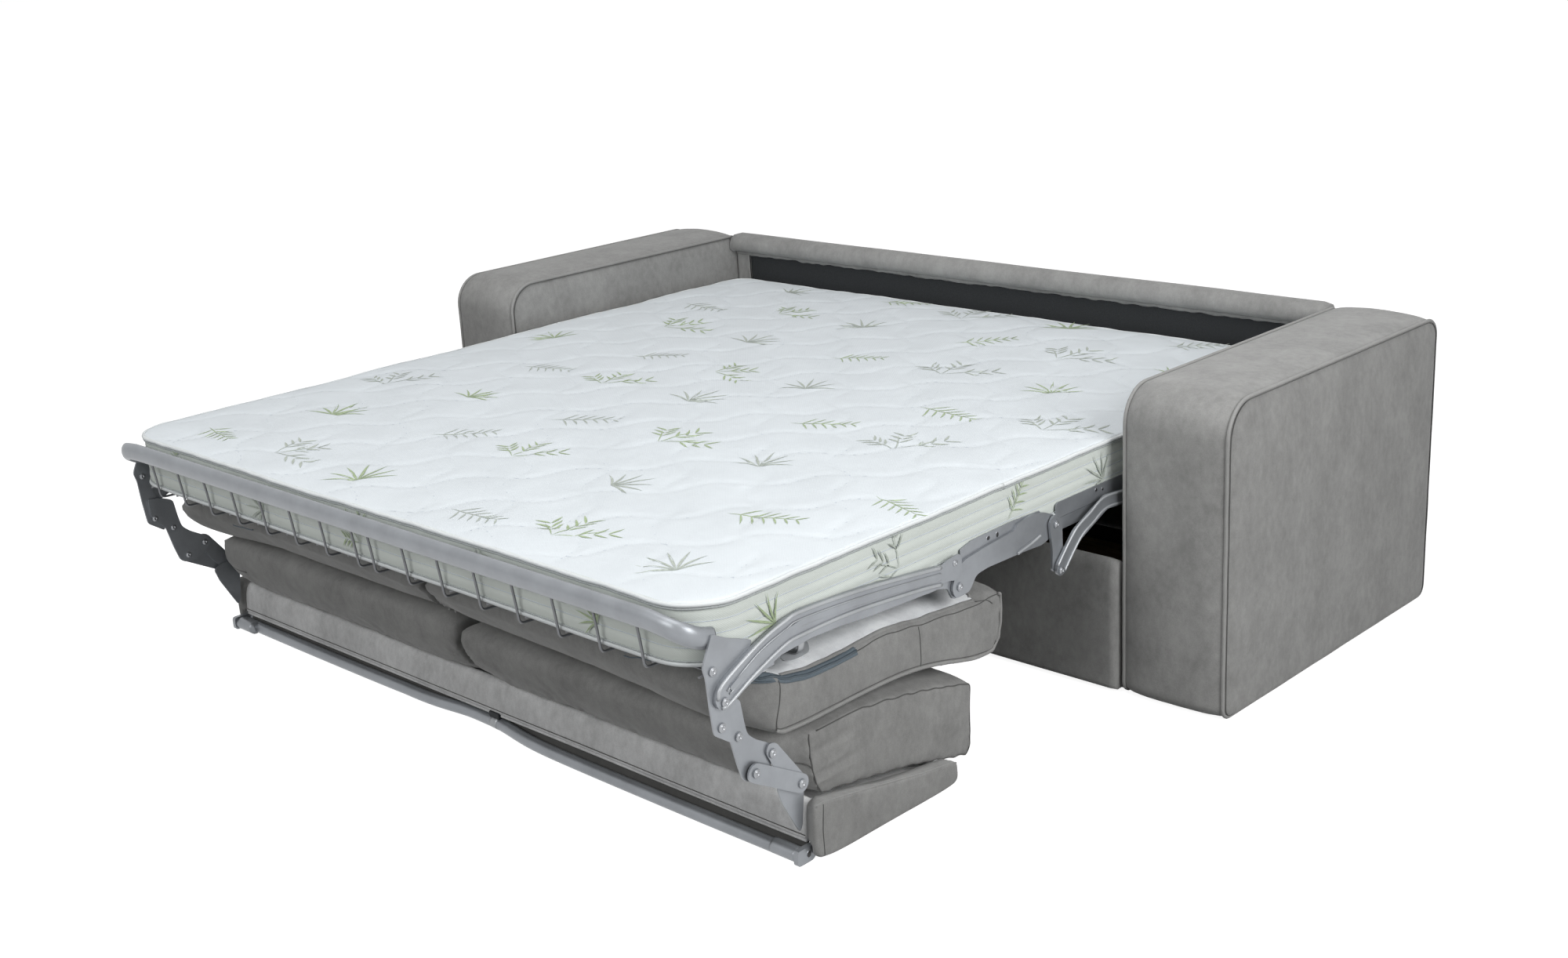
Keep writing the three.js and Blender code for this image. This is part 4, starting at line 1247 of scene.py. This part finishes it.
def build_panel_shade_strip():
    """Dark strip of painted shade that hangs from the panel's lower edge behind the floor tube, where the gap to the
    floor lies in shadow.
    """
    xs = np.linspace(-0.892, 0.892, 160)
    tube_y = curve_at(LEG_HALF, np.abs(xs))
    reach = tube_y + 0.0155 + 0.868 + 0.008 * np.clip(-xs / 0.25, 0, 1)
    rows = []
    for t in np.linspace(0, 1, 7):
        y = [-0.868 + r * t for r in reach]
        z = [0.031 - t * math.sqrt(0.028 ** 2 - r ** 2) for r in reach]
        rows.append(np.column_stack([xs, y, z]))
    strip = cloth_grid("back_panel_shade_strip", np.concatenate(rows), len(rows), SEAM_SHADE_LINE, 0.001)
    carried(strip, "back_frame", "lining")


GUSSET = [(-0.884, 0.016), (-0.887, 0.05), (-0.888, 0.086), (-0.884, 0.107), (-0.87, 0.112), (-0.845, 0.107),
          (-0.806, 0.100), (-0.704, 0.081), (-0.608, 0.062), (-0.525, 0.050), (-0.508, 0.044), (-0.504, 0.03),
          (-0.506, 0.011), (-0.53, 0.0045), (-0.60, 0.003), (-0.72, 0.003), (-0.82, 0.004), (-0.865, 0.008)]


def build_gusset(word, side):
    """Side cheek of the back frame, padded and covered."""
    ring = spline(GUSSET, 220, closed=True)
    centre = np.array([-0.7, 0.045])
    rows = []
    for across, inset in ((0.9125, 0.004), (0.9128, 0.0015), (0.914, 0.0), (0.921, 0.0), (0.9238, 0.0008),
                          (0.9255, 0.003), (0.9264, 0.007), (0.9268, 0.013), (0.927, 0.022)):
        points = []
        for p in ring:
            away = p - centre
            size = np.linalg.norm(away)
            q = centre + away * (1 - inset / size)
            inner = across
            if across < 0.9126 and (p[0] > -0.86 or q[1] > 0.037):
                inner = 0.8962 if p[0] > -0.86 else 0.9016
            lift = 0.0008 * wave_noise(across, q[0], q[1], 9, side)
            points.append((side * inner, q[0], max(q[1] + lift, 0.0022)))
        rows.append(np.array(points))
    cheek = carried(capped_loft(f"back_panel_cheek_{word}", rows, UPHOLSTERY), "back_frame", "upholstery")
    skin = (surface_tree(cheek), side, "back_frame", "upholstery")
    seam = [(0.927, -0.868, 0.108), (0.928, -0.872, 0.06), (0.927, -0.87, 0.012)]
    line_on(f"back_panel_cheek_seam_{word}", skin, seam, 0.0011, SEAM_SHADE_LINE)
    welt = [(0.925, y, z + 0.001) for y, z in GUSSET[3:11]]
    line_on(f"back_panel_cheek_welt_{word}", skin, welt, 0.0016, PIPING_LIT, 0.0004)


for word, side in SIDES:
    build_seat(word, side)
    build_back_pad(word, side)
build_panel()
for word, side in SIDES:
    build_gusset(word, side)
build_panel_shade_strip()


# ---- metal work


def dress(name, material, width=0.0007):
    """Gives a CAD node its finish and softens its edges."""
    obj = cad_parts[name]
    obj.data.materials.clear()
    obj.data.materials.append(material)
    soft_edges(obj, width)


METAL = ["side_bracket", "lift_lever", "rear_lever", "middle_tube", "link_plate", "seat_channel", "corner_bracket",
         "back_hinge_plate", "hinge_arm", "hinge_link", "triangle_plate", "leg_bracket", "control_crank",
         "control_lever"]
for stem in METAL:
    for word, _ in SIDES:
        dress(f"{stem}_{word}", STEEL)
for place in ("front", "rear"):
    dress(f"base_rail_{place}", TIMBER, 0.002)
    for word, _ in SIDES:
        dress(f"glide_{place}_{word}", PLASTIC, 0.001)
dress("tube_strap", LINING)


def build_foot_rail():
    """The oval tube across the bed's foot, with its bent corners."""
    right = spline([(0.8885, -1.066, 0.468), (0.888, -1.092, 0.476), (0.880, -1.114, 0.488), (0.858, -1.126, 0.497),
                    (0.815, -1.128, 0.502)], 40)
    left = mirrored(-1, right)
    middle = np.column_stack([np.linspace(-0.8, 0.8, 60), np.full(60, -1.128), np.full(60, 0.502)])
    path = np.concatenate([left, middle, right[::-1]])
    rail = carried(oval_tube("foot_rail_tube", path, 0.0125, 0.0185, STEEL), "foot_frame", "mechanism")
    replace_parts(rail, "foot_tube")


def build_floor_tube():
    """The round tube that lies on the floor, its left half a little further back, with a clip ring lightened as
    painted highlight.
    """
    right = spline([(x, y, 0.013) for x, y in LEG_HALF], 60)
    left = mirrored(-1, right)[::-1][:-1]
    left[:, 1] += 0.011 * np.clip(-left[:, 0] / 0.25, 0, 1)
    path = np.concatenate([left, right])
    leg = carried(tube("leg_round_tube", path, 0.0128, STEEL, 24), "back_frame", "mechanism")
    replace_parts(leg, "leg_tube")
    ring = [(x, np.interp(x, path[:, 0], path[:, 1]), 0.0135) for x in (0.027, 0.034, 0.044, 0.051)]
    carried(tube("leg_clip_ring", ring, 0.0134, STEEL_HIGHLIGHT, 24), "back_frame", "mechanism")


build_foot_rail()
build_floor_tube()

# Edges and ribs of the seat channels and control levers in the side plane, as (y, z).
CHANNEL_UPPER = [(-1.080, 0.372), (-1.069, 0.395), (-0.983, 0.4365), (-0.922, 0.4545), (-0.880, 0.4595),
                 (-0.730, 0.4505), (-0.522, 0.4265)]
CHANNEL_RIB_HIGH = [(-1.060, 0.381), (-0.985, 0.4215), (-0.920, 0.4405), (-0.882, 0.4465), (-0.730, 0.4375),
                    (-0.523, 0.4155)]
CHANNEL_RIB_LOW = [(-1.055, 0.374), (-0.985, 0.4105), (-0.920, 0.4295), (-0.880, 0.4355), (-0.730, 0.4265),
                   (-0.523, 0.4045)]
CHANNEL_LOWER = [(-1.073, 0.3565), (-1.057, 0.358), (-0.998, 0.387), (-0.926, 0.4140), (-0.880, 0.4190),
                 (-0.753, 0.4180), (-0.581, 0.4030), (-0.522, 0.3945)]
LEVER_UPPER = [(-0.185, 0.331), (-0.130, 0.3845), (-0.078, 0.408), (-0.027, 0.4265), (0.06, 0.418), (0.144, 0.4095)]
LEVER_LOWER = [(-0.163, 0.3155), (-0.112, 0.3655), (-0.068, 0.386), (-0.021, 0.4035), (0.06, 0.396), (0.144, 0.3885)]


def folds(name, side, face, edges, body):
    """Rolled edges and ribs pressed into a plate: beads along its outline on its outer face, in a lighter paint as
    painted highlight.
    """
    beads = []
    for number, (edge, radius) in enumerate(edges):
        path = spline(mirrored(side, [(face, y, z) for y, z in edge]), 90)
        beads.append(tube(f"{name}_{number}", path, radius, STEEL_HIGHLIGHT, 10))
    carried(join(name, beads), body, "mechanism")


# Radius and height of the rings of a rivet head, as shares of its radius.
RIVET_PROFILE = [(1.0, 0.0), (1.0, 0.4), (0.93, 0.52), (0.8, 0.6), (0.72, 0.58), (0.7, 0.8), (0.6, 0.98), (0.44, 1.04),
                 (0.36, 0.98), (0.3, 0.6), (0.0, 0.56)]


def rivet(name, side, x, y, z, radius, body, out=1):
    """A domed rivet head on its washer, with the small dimple of the punch. out is -1 for the inner side."""
    cos, sin = circle(28)
    rings = []
    for share, high in RIVET_PROFILE:
        r = max(share * radius, 0.0001)
        at = side * (x + out * high * radius * 0.36)
        rings.append(np.column_stack([np.full(len(cos), at), y + r * cos, z + r * sin]))
    faces = [tuple(f) for f in loft_faces(len(rings), len(cos))]
    faces.append(tuple(range((len(rings) - 1) * len(cos), len(rings) * len(cos))))
    carried(face_outward(make_mesh(name, np.concatenate(rings), faces, RIVET)), body, "mechanism")


# Rivet heads: name, place, radius and body.
RIVETS = [
    ("bracket_high", 0.9065, -1.082, 0.420, 0.0078, "foot_frame"),
    ("bracket_low", 0.9065, -1.070, 0.319, 0.0078, "foot_frame"),
    ("channel_front", 0.9138, -1.066, 0.364, 0.0078, "foot_frame"),
    ("hinge_plate", 0.9023, -1.030, 0.287, 0.0074, "foot_frame"),
    ("hinge_arm", 0.9065, -0.960, 0.232, 0.0078, "foot_frame"),
    ("hinge_link_high", 0.9108, -1.004, 0.214, 0.0078, "foot_frame"),
    ("hinge_link_low", 0.9108, -0.899, 0.154, 0.0078, "foot_frame"),
    ("link_foot", 0.9098, -0.465, 0.372, 0.0064, "fold_link"),
    ("channel_rear", 0.9112, -0.480, 0.4225, 0.0062, "foot_frame"),
    ("crank", 0.9168, -0.180, 0.412, 0.0066, "control_crank"),
    ("lever_front", 0.9238, -0.175, 0.319, 0.0074, "control_lever"),
    ("lever_rear", 0.9238, 0.147, 0.399, 0.0074, "control_lever"),
]
# Their tails on the inner side of the foot frame's plates.
RIVET_TAILS = [("bracket_high", 0.901, -1.082, 0.420), ("bracket_low", 0.8965, -1.070, 0.319),
               ("hinge_plate", 0.8965, -1.030, 0.287), ("hinge_arm", 0.8965, -0.960, 0.232),
               ("hinge_link_high", 0.8965, -1.004, 0.214), ("hinge_link_low", 0.901, -0.899, 0.154)]


def plate(name, outline, x0, x1, side, body, holes):
    """A sheet-metal plate in the side plane with rounded edges and punched holes, dark with painted shade, on its
    outer face.
    """
    ring = resample(outline, 0.003, True)
    rows = [np.column_stack([np.full(len(ring), side * x), ring]) for x in (x0, x1)]
    made = carried(capped_loft(name, rows, STEEL, smooth=False), body, "mechanism")
    soft_edges(made, 0.0006)
    for number, (y, z, long, high) in enumerate(holes):
        punched(f"{name}_hole_{number}", side, x1, y, z, long, high, body)


def punched(name, side, x, y, z, long, high, body):
    """A punched hole: a dark disc of painted shade for its depth, inside a thin turned rim."""
    cos, sin = circle(24)
    for tag, scale, lift, material in (("rim", 1.3, 0.0003, STEEL), ("dark", 1.0, 0.0006, HOLE_SHADE)):
        rings = [np.column_stack([np.full(len(cos), side * (x + up)), y + long * f * cos, z + high * f * sin])
                 for f, up in ((scale, -0.0002), (scale * 0.97, lift), (0.05, lift))]
        faces = [tuple(f) for f in loft_faces(3, len(cos))] + [tuple(range(2 * len(cos), 3 * len(cos)))]
        spot = face_outward(make_mesh(f"{name}_{tag}", np.concatenate(rings), faces, material))
        carried(spot, body, "mechanism")


def build_retainer(word, side):
    """Tongue that holds the cushion's panel: a rounded plate in a lighter paint, painted light where the channel
    shades it, under a twisted tab from the channel in the painted-highlight paint.
    """
    outline = spline([(0.905, -0.902), (0.905, -0.868), (0.893, -0.848), (0.866, -0.826), (0.842, -0.824),
                      (0.8325, -0.840), (0.84, -0.864), (0.866, -0.892), (0.89, -0.909)], 60, closed=True)
    rows = [[(side * x, y, z + 0.02 * (x - 0.84)) for x, y in outline] for z in (0.3748, 0.3768)]
    tongue = capped_loft(f"cushion_tongue_{word}", rows, TONGUE_LIGHTENED, smooth=False)
    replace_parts(carried(tongue, "foot_frame", "mechanism"), f"cushion_retainer_{word}")
    bend = spline([(0.9035, 0.425), (0.9038, 0.406), (0.9028, 0.395), (0.897, 0.3835), (0.886, 0.3802),
                   (0.872, 0.3796)], 30)
    grid = []
    for step, (x, z) in enumerate(bend):
        t = step / (len(bend) - 1)
        width = 0.011 - 0.004 * math.sin(math.pi * t)
        for share in (-1, -0.5, 0, 0.5, 1):
            grid.append((side * (x - 0.0008 * share * share), -0.880 + 0.006 * t + width * share, z))
    carried(cloth_grid(f"cushion_tab_{word}", grid, len(bend), STEEL_HIGHLIGHT, 0.0022), "foot_frame", "mechanism")


# Sheet-metal plates: name, outline, inner and outer face, body and punched holes (place, half length, half height).
PLATES = [
    ("fold_rail", [(-0.455, 0.3955), (-0.455, 0.4385), (-0.42, 0.447), (-0.3, 0.4495), (-0.215, 0.4465),
                   (-0.206, 0.43), (-0.206, 0.3955)], 0.9010, 0.9027, "fold_link",
     [(-0.373, 0.4375, 0.0042, 0.0036), (-0.346, 0.4365, 0.0036, 0.0046)]),
    ("middle_rail", [(-0.163, 0.4145), (-0.163, 0.443), (-0.155, 0.4465), (0.54, 0.4465), (0.553, 0.436),
                     (0.553, 0.4145)], 0.9004, 0.9024, "middle_frame",
     [(-0.030, 0.438, 0.0034, 0.0034), (-0.008, 0.434, 0.0028, 0.0028)]),
    ("channel_end", [(-0.4985, 0.4345), (-0.47, 0.4375), (-0.4605, 0.430), (-0.4615, 0.398), (-0.478, 0.389),
                     (-0.4965, 0.393), (-0.5195, 0.3955), (-0.5195, 0.429)], 0.9085, 0.9112, "foot_frame", []),
    ("channel_skirt", [(-1.052, 0.353), (-1.0, 0.375), (-0.93, 0.398), (-0.857, 0.4035), (-0.785, 0.401),
                       (-0.713, 0.3945), (-0.6, 0.389), (-0.521, 0.386), (-0.521, 0.405), (-0.7, 0.425),
                       (-0.88, 0.425), (-0.99, 0.398), (-1.055, 0.366)], 0.9062, 0.9092, "foot_frame", []),
]
LINK_BEAD = [(-0.292, 0.3845), (-0.25, 0.392), (-0.222, 0.4)]


def build_details(word, side):
    """One side's folded edges, rivets, sheet plates, punched holes, sleeve and cushion tongue."""
    edges = [(CHANNEL_UPPER, 0.0034), (CHANNEL_RIB_HIGH, 0.0016), (CHANNEL_RIB_LOW, 0.0016), (CHANNEL_LOWER, 0.0036)]
    folds(f"seat_channel_folds_{word}", side, 0.9128, edges, "foot_frame")
    folds(f"control_lever_folds_{word}", side, 0.9222, [(LEVER_UPPER, 0.0026), (LEVER_LOWER, 0.0026)], "control_lever")
    folds(f"link_plate_bead_{word}", side, 0.9088, [(LINK_BEAD, 0.003)], "fold_link")
    for stem, x, y, z, radius, body in RIVETS:
        rivet(f"rivet_{stem}_{word}", side, x, y, z, radius, body)
    for stem, x, y, z in RIVET_TAILS:
        rivet(f"rivet_tail_{stem}_{word}", side, x, y, z, 0.0066, "foot_frame", -1)
    for stem, outline, x0, x1, body, holes in PLATES:
        plate(f"{stem}_{word}", outline, x0, x1, side, body, holes)
    punched(f"leg_end_hole_{word}", side, 0.907, -0.889, 0.016, 0.005, 0.0055, "back_frame")
    path = [(side * x, -0.8992, 0.0146) for x in np.linspace(0.836, 0.8955, 12)]
    carried(oval_tube(f"leg_sleeve_{word}", path, 0.0152, 0.0139, STEEL, 32), "back_frame", "mechanism")
    build_retainer(word, side)


NET_HALF = 0.87
BOX_FACES = [(0, 1, 2, 3), (7, 6, 5, 4), (0, 4, 5, 1), (1, 5, 6, 2), (2, 6, 7, 3), (3, 7, 4, 0)]


def net(name, body, cad_node, y0, y1, bars=()):
    """A bed net of long and cross wires with flat cross bars, joined as one piece."""
    parts = []
    for x in np.linspace(-NET_HALF, NET_HALF, 17):
        wire = resample([(x, y0, 0.4), (x, y1, 0.4)], 0.05)
        parts.append(tube(f"{name}_long_{len(parts)}", wire, 0.0024, WIRE, 6))
    for y in np.arange(y0 + 0.02, y1, 0.06):
        wire = resample([(-NET_HALF, y, 0.4045), (NET_HALF, y, 0.4045)], 0.2)
        parts.append(tube(f"{name}_cross_{len(parts)}", wire, 0.002, WIRE, 6))
    for y, z, reach in bars:
        box = [(end * reach, y + along * 0.012, z + up * 0.009) for end in (1, -1)
               for along, up in ((-1, -1), (1, -1), (1, 1), (-1, 1))]
        parts.append(face_outward(make_mesh(f"{name}_bar_{len(parts)}", box, BOX_FACES, STEEL, smooth=False)))
    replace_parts(carried(join(name, parts), body, "wire"), cad_node)


def front_wire(x):
    """A wire that comes off the foot tube's back, runs down the mattress's face and hooks in beneath it."""
    return spline([(x, -1.118, 0.497), (x, -1.1195, 0.488), (x, -1.1185, 0.478), (x + 0.001, -1.1145, 0.448),
                   (x + 0.002, -1.1115, 0.420), (x + 0.002, -1.1095, 0.409), (x + 0.002, -1.104, 0.4035),
                   (x + 0.002, -1.09, 0.402), (x + 0.002, -1.06, 0.401)], 70)


for word, side in SIDES:
    build_details(word, side)
net("foot_net", "foot_frame", "foot_mesh", -1.08, -0.51, [(-0.947, 0.388, 0.896), (-0.532, 0.388, 0.896)])
net("fold_net", "fold_link", "fold_mesh", -0.43, -0.22, [(-0.399, 0.4, 0.9025), (-0.229, 0.4, 0.9025)])
net("middle_net", "middle_frame", "middle_mesh", -0.135, 0.525, [(-0.128, 0.385, 0.8795), (0.507, 0.385, 0.8795)])
net("head_net", "head_section", "head_webbing", 0.54, 0.79)
wire_places = [side * (0.027 + 0.1068 * i) for side in (-1, 1) for i in range(8)]
wires = [tube(f"front_wire_{i}", front_wire(x), 0.0025, WIRE, 8) for i, x in enumerate(wire_places)]
carried(join("foot_front_wires", wires), "foot_frame", "wire")


# ---- floor, light and camera


def seen_directly(tree):
    """1 for what the camera sees by itself or in a glossy surface, else 0; and the light path node."""
    path = node(tree, "ShaderNodeLightPath", {})
    return math_node(tree, "MAXIMUM", path.outputs["Is Camera Ray"], path.outputs["Is Glossy Ray"]), path


def build_stage():
    """A white floor on which the camera still sees the object's shadow, and which throws less light back at it."""
    bpy.ops.mesh.primitive_plane_add(size=80, location=(0, 0, -0.0005))
    floor = bpy.context.object
    floor.name = "studio_floor"
    material, tree, shader = new_material("studio_floor", (0.5, 0.5, 0.5), 0.9)
    feed(shader, {"Specular IOR Level": 0.0})
    glow = node(tree, "ShaderNodeEmission", {"Color": (1, 1, 1, 1)})
    seen, _ = seen_directly(tree)
    feed(glow, {"Strength": math_node(tree, "MULTIPLY", seen, 0.9)})
    dim = node(tree, "ShaderNodeBsdfDiffuse", {"Color": (0.16, 0.16, 0.16, 1)})
    pick = node(tree, "ShaderNodeMixShader", {"Fac": seen, 1: dim.outputs["BSDF"], 2: shader.outputs["BSDF"]})
    both = node(tree, "ShaderNodeAddShader", {0: pick.outputs["Shader"], 1: glow.outputs["Emission"]})
    feed(tree.nodes["Material Output"], {"Surface": both.outputs["Shader"]})
    floor.data.materials.append(material)


def build_world():
    """White surroundings for the camera and for reflections, dimmer as a light."""
    world = bpy.data.worlds.new("studio")
    bpy.context.scene.world = world
    world.use_nodes = True
    tree = world.node_tree
    seen, path = seen_directly(tree)
    seen = math_node(tree, "MAXIMUM", seen, path.outputs["Is Transmission Ray"])
    feed(tree.nodes["Background"], {"Strength": map_range(tree, seen, 0.22, 1.0), "Color": (1, 1, 1, 1)})


def area_light(name, place, target, size, power):
    data = bpy.data.lights.new(name, "AREA")
    data.shape = "RECTANGLE"
    data.size, data.size_y = size
    data.energy = power
    light = bpy.data.objects.new(name, data)
    bpy.context.scene.collection.objects.link(light)
    light.location = place
    light.rotation_euler = (Vector(target) - Vector(place)).to_track_quat("-Z", "Y").to_euler()


# The camera fitted to the photo: place, turn in degrees, and focal length in pixels of the 2000 pixel wide photo.
CAMERA_PLACE = (2.91443, -2.94405, 1.5899)
CAMERA_TURN = (44.4838, 17.4302, -3.1073)
FOCAL_PIXELS, PHOTO_WIDTH, SENSOR_WIDTH = 2402.63, 2000, 36


def build_camera():
    azimuth, elevation, roll = (math.radians(v) for v in CAMERA_TURN)
    back_axis = Vector((math.sin(azimuth) * math.cos(elevation), -math.cos(azimuth) * math.cos(elevation),
                        math.sin(elevation)))
    level = Vector((math.cos(azimuth), math.sin(azimuth), 0))
    upright = back_axis.cross(level)
    right_axis = level * math.cos(roll) + upright * math.sin(roll)
    up_axis = -level * math.sin(roll) + upright * math.cos(roll)
    data = bpy.data.cameras.new("photo_camera")
    data.lens = FOCAL_PIXELS / PHOTO_WIDTH * SENSOR_WIDTH
    data.clip_end = 100
    camera = bpy.data.objects.new("photo_camera", data)
    bpy.context.scene.collection.objects.link(camera)
    turn = Matrix((right_axis, up_axis, back_axis)).transposed().to_4x4()
    camera.matrix_world = Matrix.Translation(shifted([CAMERA_PLACE])[0]) @ turn
    bpy.context.scene.camera = camera


build_stage()
build_world()
area_light("key", (3.7, -0.5, 1.9), (0.7, 0.0, 0.35), (2.0, 1.6), 79)
area_light("front", (0.2, -5.0, 3.0), (0, -0.3, 0.3), (3.0, 2.0), 82)
area_light("top", (0.5, -1.1, 4.3), (0.1, -0.2, 0.3), (3.6, 3.6), 98)
area_light("low", (4.2, -3.2, 1.1), (0.8, -0.7, 0.35), (1.6, 0.8), 3.5)
build_camera()
bpy.context.scene.view_settings.view_transform = "Standard"
